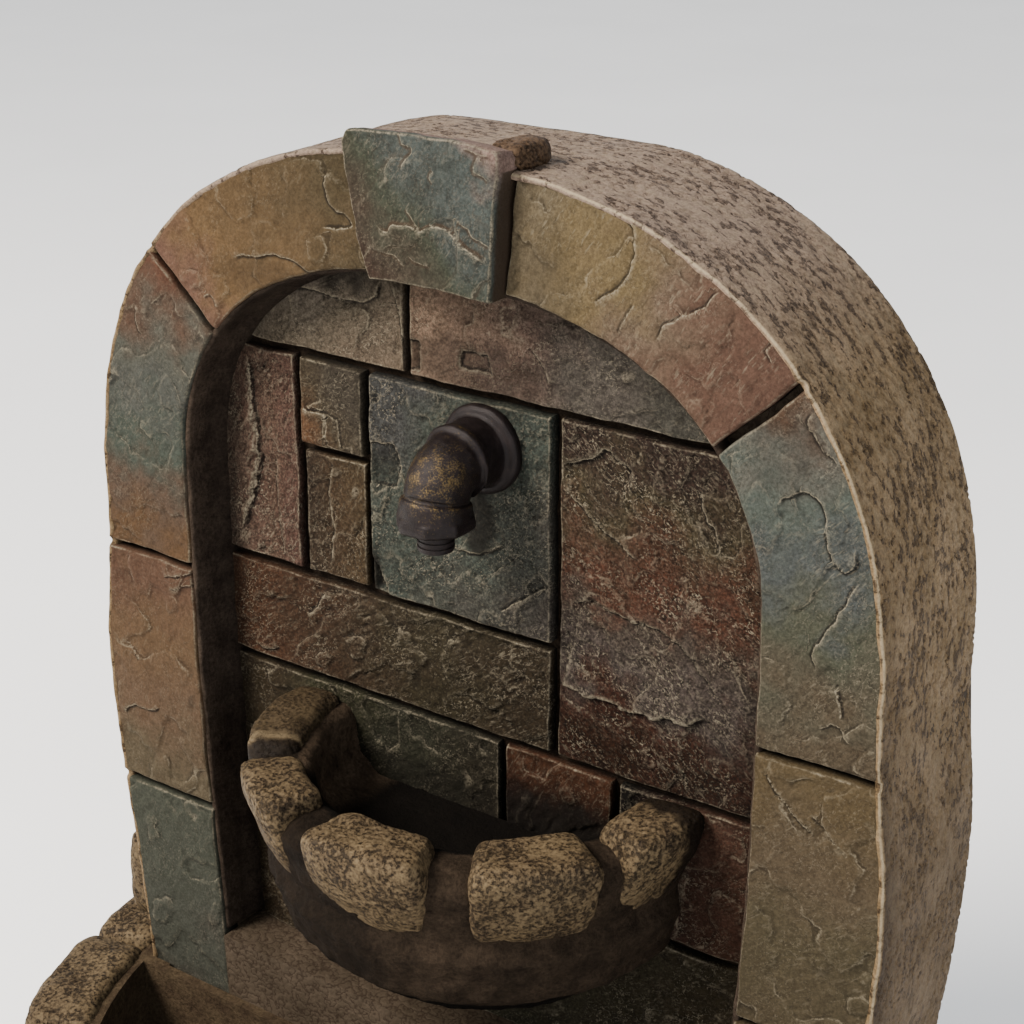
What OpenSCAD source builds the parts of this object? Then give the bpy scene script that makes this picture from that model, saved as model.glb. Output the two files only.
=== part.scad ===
// Arched floor fountain: a cast shell faced with slate, a pipe elbow that pours
// into a corbelled bowl, and a round stone basin on the floor with the pump in it.
// Origin: middle of the footprint on the floor. Front is -Y, up is +Z.

/* [Arch] */
// Width of the arch at its spring line
arch_w = 480; // [470:1:490]
// Height of the spring line above the floor
spring_h = 470; // [460:1:480]
// Rise of the crown above the spring line
arch_rise = 233; // [228:1:240]
// How square the arch curve is, where 2 is an ellipse
arch_square = 2.4; // [2.2:0.05:2.6]
// Swell of each side below the spring line
belly = 8; // [4:0.5:9]
// Drop from the spring line to the widest point
belly_drop = 90; // [80:1:110]
// How far each foot draws in from the widest point
foot_in = 16; // [14:0.5:22]
// Length of that draw in, down the side
foot_run = 240; // [220:1:250]

/* [Shell] */
// Depth of the cast shell behind the ring stones
shell_d = 90; // [86:1:100]
// Side wall of the shell
shell_t = 8; // [6:0.5:10]
// Front plate of the shell, behind the ring stones
face_t = 6; // [4:0.5:8]
// How far the crown falls towards the back
crown_fall = 5; // [2:0.5:6]
// Lining round the niche
reveal_t = 6; // [4:0.5:7]
// Panel behind the niche stones
panel_t = 6; // [4:0.5:7]
// Height of the sill that closes the bottom of the niche
sill_h = 205; // [200:1:212]
// Thickness of the sill
sill_t = 6; // [4:0.5:8]

/* [Ring stones] */
// Width of the ring at the legs
ring_w = 62; // [58:1:66]
// Height of the ring at the crown
ring_crown = 58; // [54:1:62]
// Thickness of the ring stones
ring_t = 12; // [9:0.5:14]
// Open joint between ring stones
ring_joint = 4; // [2:0.5:6]
// Slope of the first joint above level, in degrees
joint_1_slope = 43; // [40:1:46]
// Height of the first joint above the spring line, at the ring's inner edge
joint_1_up = 122; // [114:1:128]
// Drop of the second joint below the spring line
joint_2_drop = 20; // [10:1:40]
// Drop of the third joint below the spring line
joint_3_drop = 173; // [150:1:190]
// Height of the leg stones' lower end above the floor
leg_foot = 8; // [4:1:20]

/* [Keystone] */
// Width of the keystone's bottom edge
key_bottom = 70; // [64:1:76]
// Width of the keystone's top edge
key_top = 88; // [82:1:96]
// How far the keystone stands out of the ring
key_proud = 12; // [8:0.5:16]
// How far the keystone stands above the crown
key_rise = 14; // [8:0.5:18]
// How far its cap reaches back over the shell
key_cap = 16; // [10:1:24]

/* [Niche stones] */
// Depth from the ring's front to the face of the niche stones
niche_d = 28; // [26:0.5:32]
// Thickness of a niche stone
slab_t = 10; // [8:0.5:12]
// Open joint between niche stones
slab_joint = 5; // [3:0.5:7]
// Level of the joint under the top row, above the spring line
row_1 = 110; // [100:1:118]
// Level of the joint under the spout stone, below the spring line
row_2 = 17; // [8:1:24]
// Level of the joint under the long stone, below the spring line
row_3 = 80; // [74:1:88]
// Level of the joint behind the bowl, below the spring line
row_4 = 166; // [160:1:174]
// Place of the joint in the top row
col_top = -44; // [-60:1:-30]
// Place of the joint beside the tall stone
col_tall = -117.5; // [-124:0.5:-108]
// Left edge of the spout stone
col_left = -71; // [-80:0.5:-64]
// Right edge of the spout stone
col_right = 48; // [42:0.5:56]
// Level of the joint between the two small stones, above the spring line
row_small = 58; // [48:1:70]
// Joint between the first and second stone behind the bowl
col_low_1 = 15; // [8:1:20]
// Joint between the second and third stone behind the bowl
col_low_2 = 86; // [80:1:96]
// Joint between the two bottom stones
col_foot = -30; // [-50:1:-10]

/* [Spout] */
// Place of the spout across the arch
spout_x = 6; // [0:1:12]
// Height of the spout's pipe above the spring line
spout_up = 84; // [80:1:90]
// Distance from the ring's front to the spout's mouth, forwards
spout_reach = 15; // [12:0.5:20]
// Radius of the wall flange
flange_r = 23.5; // [22:0.5:26]
// Thickness of the wall flange
flange_t = 6; // [4:0.5:8]
// Radius of the elbow's bend
bend_r = 18.5; // [17.5:0.5:20]
// Outside radius of the elbow's body
elbow_r = 16.4; // [15.5:0.1:17]
// Radius of the elbow's end collars
collar_r = 18.6; // [18:0.1:20]
// Drop of the lower collar's top below the pipe
collar_drop = 14.5; // [14:0.5:16]
// Length of the lower collar
collar_h = 14; // [12:0.5:16]
// Height of the eight-sided skirt at the collar's end
skirt_h = 6; // [4:0.5:8]
// How far the skirt stands out of the collar
skirt_out = 1.6; // [1:0.1:2.4]
// Depth of the wall pipe in the elbow
socket_l = 12; // [10:0.5:14]
// Water bore of the spout
bore_r = 6.5; // [5:0.1:7]
// Radius of the mouth nipple
nipple_r = 9.3; // [8.6:0.1:10]
// How far the nipple shows below the collar
nipple_out = 12; // [10:0.5:16]
// Depth of the nipple in the collar
nipple_in = 8; // [6:0.5:10]
// Outside radius of the pipe through the wall
tail_r = 10; // [9:0.1:11]
// Width across the corners of the lock nut
nut_w = 36; // [32:1:40]
// Thickness of the lock nut
nut_t = 6; // [5:0.5:7]
// Thickness of the rubber washer
washer_t = 2.5; // [1.5:0.5:3]

/* [Bowl] */
// Place of the bowl's middle across the arch
bowl_x = 7; // [0:1:12]
// Drop of the bowl's rim below the spring line
bowl_drop = 85; // [80:1:92]
// Radius of the bowl's mouth
mouth_r = 98; // [92:1:102]
// Width of the rim stones
rim_w = 40; // [34:1:44]
// Height of the rim stones
rim_h = 45; // [40:1:52]
// Thickness of the lining inside the rim stones
lining_t = 4; // [3:0.5:6]
// How far the mortar lies below the top of the rim stones
mortar_down = 10; // [6:0.5:14]
// Depth of the water in the bowl
bowl_deep = 34; // [28:1:38]
// Height of the corbel under the rim
corbel_h = 100; // [90:1:110]
// Radius of the two bolts that hold the bowl
bolt_r = 4; // [3:0.5:5]
// Distance between the two bolts
bolt_gap = 70; // [64:2:84]
// Drop of the bolts below the bowl's rim
bolt_drop = 62; // [58:1:68]

/* [Basin] */
// Outside radius of the round basin
basin_r = 292; // [290:1:300]
// Distance from the ring's front back to the basin's centre
basin_back = 50; // [46:1:54]
// Depth of the stones round the basin
stone_d = 45; // [40:1:46]
// Height of one course of stones
course_h = 87; // [84:1:90]
// Open joint between the basin's stones
stone_joint = 4; // [2:0.5:8]
// How far the stones' corners are rounded
stone_round = 14; // [8:1:18]
// Number of stones in the upper course
upper_count = 10; // [9:1:12]
// Number of stones in the lower course
lower_count = 9; // [8:1:11]
// Angle that the stones run behind the basin's centre line, in degrees
wrap = 9; // [6:0.5:9.5]
// Wall of the tub
tub_t = 6; // [4:0.5:6]
// How far the tub's edge lies below the top of the stones
tub_down = 8; // [4:1:14]
// Half width of the pump well under the sill
well_half = 154; // [140:1:156]
// How far the well's edge lies below the sill
well_drop = 52; // [46:1:60]
// Height of the shoulder stones beside the arch
shoulder_h = 64; // [58:1:68]
// Width of the shoulder stones beside the arch
shoulder_w = 36; // [30:1:40]

/* [Pump] */
// Length of the pump's motor body
pump_l = 58; // [54:1:64]
// Width of the pump
pump_w = 38; // [34:1:38]
// Height of the pump
pump_h = 46; // [42:1:50]
// Height of the pump's shaft above its underside
shaft_up = 22; // [20:0.5:24]
// Height of the suction feet
feet_h = 6; // [4:0.5:8]
// Radius of the impeller's blades
impeller_r = 13; // [12:0.5:13.5]
// Radius of the impeller's magnet
magnet_r = 8; // [7:0.5:9]
// Radius of the impeller's shaft
shaft_r = 1.5; // [1.2:0.1:2]
// Depth of the intake cover
intake_d = 12; // [10:1:14]
// Radius of the flow dial
dial_r = 9; // [7:0.5:10]
// Thickness of the flow dial
dial_t = 5; // [4:0.5:6]

/* [Hose] */
// Outside radius of the hose
hose_r = 8.5; // [8:0.1:9]
// Inside radius of the hose
hose_bore = 6.5; // [6:0.1:7]
// Distance from the ring's front back to the hose
hose_back = 62; // [61.5:0.1:62.5]
// Length of a hose barb
barb_l = 24; // [20:1:28]

/* [Back cover] */
// Thickness of the back cover and its door
cover_t = 4; // [3:0.5:5]
// How far the back cover lies inside the shell's back edge
cover_in = 8; // [7.5:0.5:10]
// Width of the access door
door_w = 190; // [170:1:210]
// Height of the access door
door_h = 170; // [150:1:190]
// Height of the door's lower edge above the floor
door_up = 185; // [178:1:200]
// Gap round the door
door_gap = 1; // [0.6:0.1:2]
// Radius of the hinge knuckles
knuckle_r = 3.5; // [3.2:0.1:4]
// Radius of the hinge pins
pin_r = 1.6; // [1.2:0.1:1.8]
// Length of one hinge knuckle
knuckle_l = 12; // [10:1:16]
// Distance from the door's end to the middle of a hinge
hinge_in = 34; // [28:1:44]
// Radius of the door's knob
pull_r = 7; // [5:0.5:9]
// Thickness of the door's knob
pull_t = 3; // [2:0.5:5]
// Radius of the cover screws
screw_r = 2; // [1.5:0.1:2.5]
// Radius of the cable outlet in the cover
cable_r = 9; // [8:0.5:11]
// Height of the cable outlet above the floor
cable_up = 60; // [50:1:80]
// Place of the cable outlet across the cover
cable_x = 150; // [130:1:170]

/* [Fits] */
// Gap between bedded curved faces
bed = 0.3; // [0.2:0.05:0.4]
// Running clearance on a radius
run = 0.05; // [0.03:0.01:0.08]

/* [Hidden] */

slate = [0.36, 0.38, 0.34];
ochre = [0.50, 0.42, 0.28];
rust = [0.47, 0.28, 0.20];
brown = [0.33, 0.27, 0.22];
tan_cast = [0.52, 0.43, 0.32];
bronze = [0.26, 0.20, 0.16];
black_plastic = [0.10, 0.10, 0.11];
steel = [0.70, 0.70, 0.72];
rubber = [0.06, 0.06, 0.06];
clear_hose = [0.80, 0.84, 0.84];

// Depths, measured from the front plane of the ring stones
back_at = ring_t + shell_d;
ring_y = (basin_r - basin_back - back_at) / 2;
shell_y = ring_y + ring_t;
slab_y = ring_y + niche_d;
panel_y = slab_y + slab_t;
panel_back = panel_y + panel_t;
back_y = ring_y + back_at;
cover_y = back_y - cover_in - cover_t;
basin_y = ring_y + basin_back;
hose_y = ring_y + hose_back;

arch_half = arch_w / 2;
niche_half = arch_half - ring_w;
niche_rise = arch_rise - ring_crown;
niche_lift = 33.5;
niche_square = 2.36;
niche_in = 10;
niche_in_from = 60;
niche_in_run = 270;

spout_z = spring_h + spout_up;
rim_z = spring_h - bowl_drop;
rim_r = mouth_r + rim_w;
stones_top = 2 * course_h + stone_joint;
stone_in = basin_r - stone_d;
tub_r = stone_in - bed;
tub_h = stones_top - tub_down;
well_back = cover_y - 2;
overlap = 1;
far = 400;

// A smooth step from 0 to 1
function ease(t) = (1 - cos(180 * min(max(t, 0), 1))) / 2;

// Half width of the arch at a drop below the spring line
function arch_side(drop) = arch_half + belly * ease(drop / belly_drop)
    - foot_in * ease((drop - belly_drop) / foot_run);

// Half width of the niche at a drop below the spring line
function niche_side(drop) = niche_half - niche_in * ease((drop - niche_in_from) / niche_in_run);

// A quarter curve between an ellipse and a square
function quarter(a, b, power, t) = [a * pow(cos(t), 2 / power), b * pow(sin(t), 2 / power)];

arch_steps = 14;
side_steps = 10;

// Right half of the arch outline from the foot to the crown, drawn in by inset
function arch_half_line(inset, low) = concat(
    [for (i = [side_steps:-1:1]) let (d = (spring_h - low) * i / side_steps)
        [arch_side(d) - inset, spring_h - d]],
    [for (i = [0:arch_steps]) let (q = quarter(arch_half - inset, arch_rise - inset, arch_square,
        90 * i / arch_steps)) [q[0], spring_h + q[1]]]
);

// Right half of the niche outline, grown by grow
function niche_half_line(grow, low) = concat(
    [for (i = [side_steps:-1:1]) let (d = (spring_h + niche_lift - low) * i / side_steps - niche_lift)
        [niche_side(d) + grow, spring_h - d]],
    [for (i = [0:arch_steps]) let (q = quarter(niche_half + grow,
        niche_rise - niche_lift + grow, niche_square, 90 * i / arch_steps))
        [q[0], spring_h + niche_lift + q[1]]]
);

function mirrored(line) = [for (i = [len(line) - 2:-1:0]) [-line[i][0], line[i][1]]];

module arch_face(inset = 0, low = 0) {
    line = arch_half_line(inset, low);
    polygon(concat(line, mirrored(line)));
}

module niche_face(grow = 0, low = 0) {
    line = niche_half_line(grow, low);
    polygon(concat(line, mirrored(line)));
}

// Stands a flat X-Z shape up between two depths
module upright(y0, y1) {
    translate([0, y1, 0]) rotate([90, 0, 0]) linear_extrude(y1 - y0) children();
}

// A cylinder along Y from y0 to y1
module rod_y(r, x, y0, y1, z, fn = 64) {
    translate([x, y1, z]) rotate([90, 0, 0]) cylinder(r = r, h = y1 - y0, $fn = fn);
}

// A cylinder along X from x0 to x1
module rod_x(r, x0, x1, y, z, fn = 64) {
    translate([x0, y, z]) rotate([0, 90, 0]) cylinder(r = r, h = x1 - x0, $fn = fn);
}

// Where the cover screws go, as points across and up
screw_edge = shell_t + 9;
screw_low = 40;
screw_mid = spring_h - 40;
screw_turn = 52;
function screw_places() = concat(
    [for (s = [-1, 1], z = [screw_low, screw_mid]) [s * (arch_side(spring_h - z) - screw_edge), z]],
    [for (s = [-1, 1]) let (q = quarter(arch_half - screw_edge, arch_rise - screw_edge, arch_square,
        screw_turn)) [s * q[0], spring_h + q[1]]]
);
screw_l = 18;
boss_r = 7;
boss_l = 24;
apron_lap = 15;
apron_gap = 1;

function bolt_places() = [for (s = [-1, 1]) [bowl_x + s * bolt_gap / 2, rim_z - bolt_drop]];

crown_y = shell_y + key_cap + 4;
module body_shell() color(tan_cast) {
    difference() {
        union() {
            difference() {
                upright(shell_y, back_y) arch_face();
                upright(shell_y + face_t, back_y + overlap) arch_face(shell_t, -overlap);
                upright(shell_y - overlap, back_y) niche_face(0, -overlap);
            }
            upright(shell_y, panel_back) difference() {
                niche_face(reveal_t);
                niche_face(0, -overlap);
            }
            upright(panel_y, panel_back) niche_face(reveal_t);
            upright(shell_y, panel_y) intersection() {
                niche_face(reveal_t);
                translate([-far, sill_h]) square([2 * far, sill_t]);
            }
            // The sill's front edge and an apron that closes the well above the tub
            upright(tub_back, shell_y) intersection() {
                niche_face(-apron_gap);
                translate([-far, sill_h]) square([2 * far, sill_t]);
            }
            upright(tub_back, tub_back + face_t) intersection() {
                niche_face(-apron_gap);
                translate([-far, tub_h - apron_lap]) square([2 * far, sill_h + sill_t - tub_h + apron_lap]);
            }
            for (p = screw_places()) rod_y(boss_r, p[0], cover_y - boss_l, cover_y, p[1], 32);
            upright(cover_y - boss_l, cover_y) for (p = screw_places()) intersection() {
                translate([p[0] > 0 ? p[0] : p[0] - screw_edge, p[1] - boss_r])
                    square([screw_edge, 2 * boss_r]);
                arch_face();
            }
        }
        upright(panel_y - overlap, back_y) translate([-niche_half + niche_in, -overlap])
            square([2 * (niche_half - niche_in), sill_h + overlap]);
        rod_y(tail_r + bed, spout_x, panel_y - overlap, panel_back + overlap, spout_z);
        for (p = bolt_places()) rod_y(bolt_r + bed, p[0], panel_y - overlap, panel_back + overlap, p[1]);
        for (p = screw_places()) rod_y(screw_r + run, p[0], cover_y - screw_l, cover_y + overlap, p[1], 32);
        upright(cover_y, back_y + overlap) arch_face(shell_t, -overlap);
        translate([-far, crown_y, spring_h + arch_rise])
            rotate([-atan(crown_fall / (back_y - crown_y)), 0, 0]) cube(2 * far);
    }
}

// The keystone's outline, grown sideways by side
module key_face(side = 0) {
    key_low = spring_h + niche_rise;
    key_high = spring_h + arch_rise + key_rise;
    polygon([
        [-key_bottom / 2 - side, key_low], [key_bottom / 2 + side, key_low],
        [key_top / 2 + side, key_high], [-key_top / 2 - side, key_high]
    ]);
}

module keystone() color(slate) difference() {
    upright(ring_y - key_proud, shell_y + key_cap) key_face();
    upright(shell_y, back_y) arch_face();
    upright(ring_y - overlap, back_y) niche_face();
}

// The line of joint 1: a point at the ring's inner edge and a point beyond its outer edge
joint_1_x = niche_half * pow(1 - pow((joint_1_up - niche_lift) / (niche_rise - niche_lift), niche_square),
    1 / niche_square);
function joint_1_at(t) = [joint_1_x + t * cos(joint_1_slope), spring_h + joint_1_up + t * sin(joint_1_slope)];

// How far the joint's line is drawn past the ring's inner edge and past its outer edge
joint_past_in = 60;
joint_past_out = ring_w + 138;

// The part of the right half of the ring that stone n takes
module ring_zone(n) {
    joint_in = joint_1_at(-joint_past_in);
    joint_out = joint_1_at(joint_past_out);
    if (n == 1) polygon([[0, joint_in[1]], joint_in, joint_out, [0, joint_out[1] + ring_w]]);
    if (n == 2) polygon([joint_in, [joint_in[0], spring_h - joint_2_drop],
        [far, spring_h - joint_2_drop], [far, joint_out[1]], joint_out]);
    if (n == 3) translate([0, spring_h - joint_3_drop]) square([far, joint_3_drop - joint_2_drop]);
    if (n == 4) translate([0, leg_foot]) square([far, spring_h - joint_3_drop - leg_foot]);
}

module ring_joints() {
    for (drop = [joint_2_drop, joint_3_drop])
        translate([0, spring_h - drop - ring_joint / 2]) square([far, ring_joint]);
    translate(joint_1_at(-joint_past_in)) rotate(joint_1_slope)
        translate([0, -ring_joint / 2]) square([far, ring_joint]);
}

// Ring stone n on the right, or mirrored on the left
module ring_stone(n, left) mirror([left ? 1 : 0, 0, 0]) upright(ring_y, shell_y) difference() {
    intersection() {
        arch_face(0, 0);
        ring_zone(n);
    }
    niche_face(0, -overlap);
    ring_joints();
    key_face(bed);
}

// A niche stone between two columns and two levels, standing proud of the others by proud
module slab(x0, x1, z0, z1, proud = 0) upright(slab_y - proud, panel_y) intersection() {
    translate([x0 + slab_joint / 2, z0 + slab_joint / 2])
        square([x1 - x0 - slab_joint, z1 - z0 - slab_joint]);
    niche_face(-slab_joint / 2);
}

level_1 = spring_h + row_1;
level_2 = spring_h - row_2;
level_3 = spring_h - row_3;
level_4 = spring_h - row_4;
level_small = spring_h + row_small;
level_foot = sill_h + sill_t - slab_joint / 2;

spout_proud = 2;
module slab_spout() color(slate) difference() {
    slab(col_left, col_right, level_2, level_1, spout_proud);
    rod_y(tail_r + bed, spout_x, ring_y, back_y, spout_z);
}

module low_slab(x0, x1) difference() {
    slab(x0, x1, level_4, level_3);
    for (p = bolt_places()) rod_y(bolt_r + bed, p[0], ring_y, back_y, p[1]);
}

// Where the water path bends from level to straight down
mouth_y = ring_y - spout_reach;
bend_y = mouth_y + bend_r;
bend_z = spout_z - bend_r;
flange_y = slab_y - spout_proud;
collar_low = spout_z - collar_drop - collar_h;
nipple_low = collar_low - nipple_out;
bead_h = 9;
touch = 0.01;

module bend(r) translate([spout_x, bend_y, bend_z]) rotate([0, 0, 180]) rotate([0, -90, 0])
    rotate_extrude(angle = 90, $fn = 64) translate([bend_r, 0]) circle(r = r, $fn = 48);

module spout_elbow() color(bronze) difference() {
    union() {
        rod_y(flange_r, spout_x, flange_y - flange_t, flange_y, spout_z);
        rod_y(collar_r, spout_x, bend_y + overlap, flange_y - flange_t + overlap, spout_z);
        rod_y(elbow_r, spout_x, bend_y, bend_y + 2 * overlap, spout_z);
        bend(elbow_r);
        translate([spout_x, mouth_y, collar_low]) {
            cylinder(r = elbow_r, h = bend_z - collar_low, $fn = 64);
            translate([0, 0, collar_h - bead_h]) cylinder(r = collar_r, h = bead_h, $fn = 64);
            rotate(180 / 8) cylinder(r = collar_r + skirt_out, h = skirt_h, $fn = 8);
        }
    }
    bend(bore_r);
    rod_y(bore_r, spout_x, bend_y - touch, flange_y + overlap, spout_z);
    rod_y(tail_r + run, spout_x, flange_y - socket_l, flange_y + overlap, spout_z);
    translate([spout_x, mouth_y, collar_low - overlap]) {
        cylinder(r = bore_r, h = bend_z - collar_low + overlap + touch, $fn = 64);
        cylinder(r = nipple_r + run, h = nipple_in + overlap, $fn = 64);
    }
}

thread_d = 0.5;
thread_h = 1.6;
thread_pitch = 3;
module spout_nipple() color(bronze) translate([spout_x, mouth_y, nipple_low]) difference() {
    union() {
        cylinder(r = nipple_r - thread_d, h = nipple_out + nipple_in, $fn = 64);
        for (i = [0:2]) translate([0, 0, overlap + thread_pitch * i])
            cylinder(r = nipple_r, h = thread_h, $fn = 64);
        translate([0, 0, nipple_out]) cylinder(r = nipple_r, h = nipple_in, $fn = 64);
    }
    translate([0, 0, -overlap]) cylinder(r = bore_r, h = nipple_out + nipple_in + 2 * overlap, $fn = 64);
}

tail_end = hose_y - 4;
tail_in = 5;
module tail_pipe() color(bronze) difference() {
    rod_y(tail_r, spout_x, flange_y - socket_l, tail_end, spout_z);
    rod_y(bore_r, spout_x, flange_y - socket_l - overlap, tail_end + overlap, spout_z);
}

module seal_washer() color(rubber) difference() {
    rod_y(nut_w / 2, spout_x, panel_back, panel_back + washer_t, spout_z);
    rod_y(tail_r + run, spout_x, panel_back - overlap, panel_back + washer_t + overlap, spout_z);
}

module lock_nut() color(black_plastic) difference() {
    rod_y(nut_w / 2, spout_x, panel_back + washer_t, panel_back + washer_t + nut_t, spout_z, 6);
    rod_y(tail_r + run, spout_x, panel_back, panel_back + washer_t + nut_t + overlap, spout_z);
}

barb_t = 2;
barb_r = hose_bore - run;
barb_bore = barb_r - barb_t;
hose_elbow_t = 2.5;
hose_elbow_r = tail_r + hose_elbow_t;
hose_elbow_back = hose_y + hose_r - 0.5;
hose_top = spout_z - hose_elbow_r - overlap;
module hose_elbow() color(black_plastic) difference() {
    union() {
        rod_y(hose_elbow_r, spout_x, tail_end - tail_in, hose_elbow_back, spout_z);
        translate([spout_x, hose_y, hose_top - barb_l])
            cylinder(r = barb_r, h = barb_l + overlap + hose_elbow_r, $fn = 48);
    }
    rod_y(tail_r + run, spout_x, tail_end - tail_in - overlap, tail_end, spout_z);
    rod_y(bore_r, spout_x, tail_end - overlap, hose_elbow_back - hose_elbow_t, spout_z);
    translate([spout_x, hose_y, hose_top - barb_l - overlap])
        cylinder(r = barb_bore, h = barb_l + overlap + hose_elbow_r, $fn = 48);
}

// Rounded block outline for a turned stone: radius r0 to r1, height z0 to z1
function block(r0, r1, z0, z1, inner, outer) = concat(
    [[r0, z0], [r1 - outer / 2, z0]],
    [for (a = [-60:30:60]) [r1 - outer + outer * cos(a),
        a < 0 ? z0 + outer / 2 * (1 + sin(a)) : z1 - outer * (1 - sin(a))]],
    [[r1 - outer, z1], [r0 + inner, z1], [r0 + inner * 0.3, z1 - inner * 0.3], [r0, z1 - inner]]
);

// How far the rim stones' outer corners are rounded
rim_round = 12;
// The bowl's stones, as start and end angles round from the left end of the rim
bowl_stones = [[0, 36], [44, 76], [82, 108], [123, 149], [157, 180]];

module bowl_sector(from, to, grow = 0) translate([bowl_x, slab_y, rim_z]) rotate(180 + from)
    rotate_extrude(angle = to - from, $fn = 96)
        polygon(block(mouth_r + bed - grow, rim_r, -rim_h - grow, 0, rim_round / 2, rim_round));

module bowl_stone(n) color(tan_cast) bowl_sector(bowl_stones[n - 1][0], bowl_stones[n - 1][1]);

// The corbel's curve, as steps in from the shelf's edge and shares of its height
corbel = [[0, 0.02], [4, 0.16], [22, 0.40], [52, 0.66], [90, 0.88], [112, 1]];
// How deep the rim stones are bedded in the shelf, and how far they stand out over it
stone_bed = 2;
shelf_in = 5;
shelf_r = rim_r - shelf_in;
mortar_r = rim_r - rim_round;
shelf_down = rim_h + bed;
pool_r = mouth_r - lining_t;
pool_down = mortar_down + bowl_deep;
pool_ease = 10;
joint_ease = 0.2;
bolt_in = 28;
module upper_bowl() color(brown) difference() {
    translate([bowl_x, slab_y, rim_z]) rotate(180) rotate_extrude(angle = 180, $fn = 96) polygon(concat(
        [[0, -pool_down], [pool_r - 1.6 * pool_ease, -pool_down],
            [pool_r - 0.4 * pool_ease, pool_ease - pool_down], [pool_r, -mortar_down],
            [mortar_r, -mortar_down], [mortar_r, stone_bed - shelf_down],
            [shelf_r, stone_bed - shelf_down]],
        [for (c = corbel) [shelf_r - c[0], -shelf_down - c[1] * corbel_h]],
        [[0, -shelf_down - corbel_h]]
    ));
    for (s = bowl_stones) translate([bowl_x, slab_y, rim_z]) rotate(180 + s[0] - joint_ease)
        rotate_extrude(angle = s[1] - s[0] + 2 * joint_ease, $fn = 96)
            translate([mouth_r, -shelf_down]) square([rim_w + overlap, shelf_down + overlap]);
    for (p = bolt_places())
        rod_y(bolt_r + run, p[0], slab_y - bolt_in - 2, slab_y + overlap, p[1]);
}

bolt_head = 6;
bolt_washer = 1.5;
module bowl_bolts() color(steel) for (p = bolt_places()) {
    rod_y(bolt_r, p[0], slab_y - bolt_in, panel_back + touch, p[1]);
    rod_y(bolt_r * 2.4, p[0], panel_back, panel_back + bolt_washer, p[1]);
    rod_y(bolt_r * 1.9, p[0], panel_back + bolt_washer - touch, panel_back + bolt_washer + bolt_head,
        p[1], 6);
}

// One basin stone from angle a0 to a1, measured round from the left side
module basin_stone(a0, a1, z0, z1) difference() {
    half_joint = stone_joint / 2 / (basin_r - stone_d / 2) * 180 / PI;
    translate([0, basin_y, 0]) rotate(180 + a0 + half_joint)
        rotate_extrude(angle = a1 - a0 - 2 * half_joint, $fn = 180)
            polygon(block(stone_in, basin_r, z0, z1, stone_round / 2, stone_round));
    arch_space();
}

// The room that the arch stands in, which nothing of the basin enters
module arch_space() upright(ring_y - bed, back_y + overlap) arch_face(-bed, -overlap);

upper_step = (180 + 2 * wrap) / upper_count;
lower_step = (180 + 2 * wrap) / lower_count;
upper_z = course_h + stone_joint;
side_count = floor(upper_count * 0.3);
module upper_stones(first, last) color(tan_cast) for (i = [first:last])
    basin_stone(-wrap + i * upper_step, -wrap + (i + 1) * upper_step, upper_z, stones_top);
module basin_stones_lower() color(tan_cast) for (i = [0:lower_count - 1])
    basin_stone(-wrap + i * lower_step, -wrap + (i + 1) * lower_step, 0, course_h);

// The tub's plan in front of the arch, drawn in by inset
arch_gap = 2;
tub_back = ring_y - arch_gap;
module tub_front(inset) intersection() {
    translate([0, basin_y]) circle(r = tub_r - inset, $fn = 180);
    translate([-far, tub_back - inset - far]) square([2 * far, far]);
}

// The plan of the pump well behind it, under the niche
module well_plan(inset) {
    half = well_half + tub_t - inset;
    translate([-half, tub_back - tub_t + inset])
        square([2 * half, well_back - tub_back + tub_t - 2 * inset]);
}

well_h = sill_h - well_drop;
web_r = min(tub_r - tub_t, arch_half - foot_in);
feed_w = 30;
feed_h = 36;
feed_count = 5;
feed_step = well_half * 0.38;
module basin_tub() color(brown) difference() {
    union() {
        linear_extrude(tub_h) tub_front(0);
        linear_extrude(well_h) well_plan(0);
        // A web from the arch's side to the stones beside it
        difference() {
            translate([0, basin_y, 0]) rotate(180 - wrap)
                rotate_extrude(angle = 180 + 2 * wrap, $fn = 180)
                    translate([web_r, 0]) square([tub_r - web_r, tub_h]);
            translate([-far, tub_back - tub_t - far, -overlap]) cube([2 * far, far, tub_h + 2 * overlap]);
            arch_space();
        }
    }
    translate([0, 0, tub_t]) linear_extrude(tub_h) tub_front(tub_t);
    translate([0, 0, tub_t]) linear_extrude(tub_h) well_plan(tub_t);
    // Slots that let the water back to the pump
    for (i = [0:feed_count - 1])
        translate([(i - (feed_count - 1) / 2) * feed_step - feed_w / 2, tub_back - tub_t - overlap, tub_t])
            cube([feed_w, tub_t + 2 * overlap, feed_h]);
}

shoulder_y0 = shell_y + 2;
shoulder_y1 = cover_y - 4;
shoulder_in = 40;
module shoulder(left) color(tan_cast) mirror([left ? 1 : 0, 0, 0]) difference() {
    x0 = arch_half - shoulder_in;
    x1 = max(arch_side(spring_h - stones_top) + shoulder_w, stone_in + stone_d / 2);
    top = stones_top + shoulder_h;
    translate([0, 0, stones_top]) linear_extrude(shoulder_h) polygon([
        [x0, shoulder_y0], [x1 - 16, shoulder_y0], [x1 - 4, shoulder_y0 + 12],
        [x1, shoulder_y0 + 28], [x1, shoulder_y1 - 16], [x1 - 10, shoulder_y1], [x0, shoulder_y1]
    ]);
    // Slopes the top down towards the outside
    upright(0, back_y) polygon([
        [x1 - 20, top + overlap], [x1 + overlap, top + overlap], [x1 + overlap, top - 18], [x1 - 6, top - 7]
    ]);
    upright(0, back_y + overlap) arch_face(-bed);
}

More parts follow.
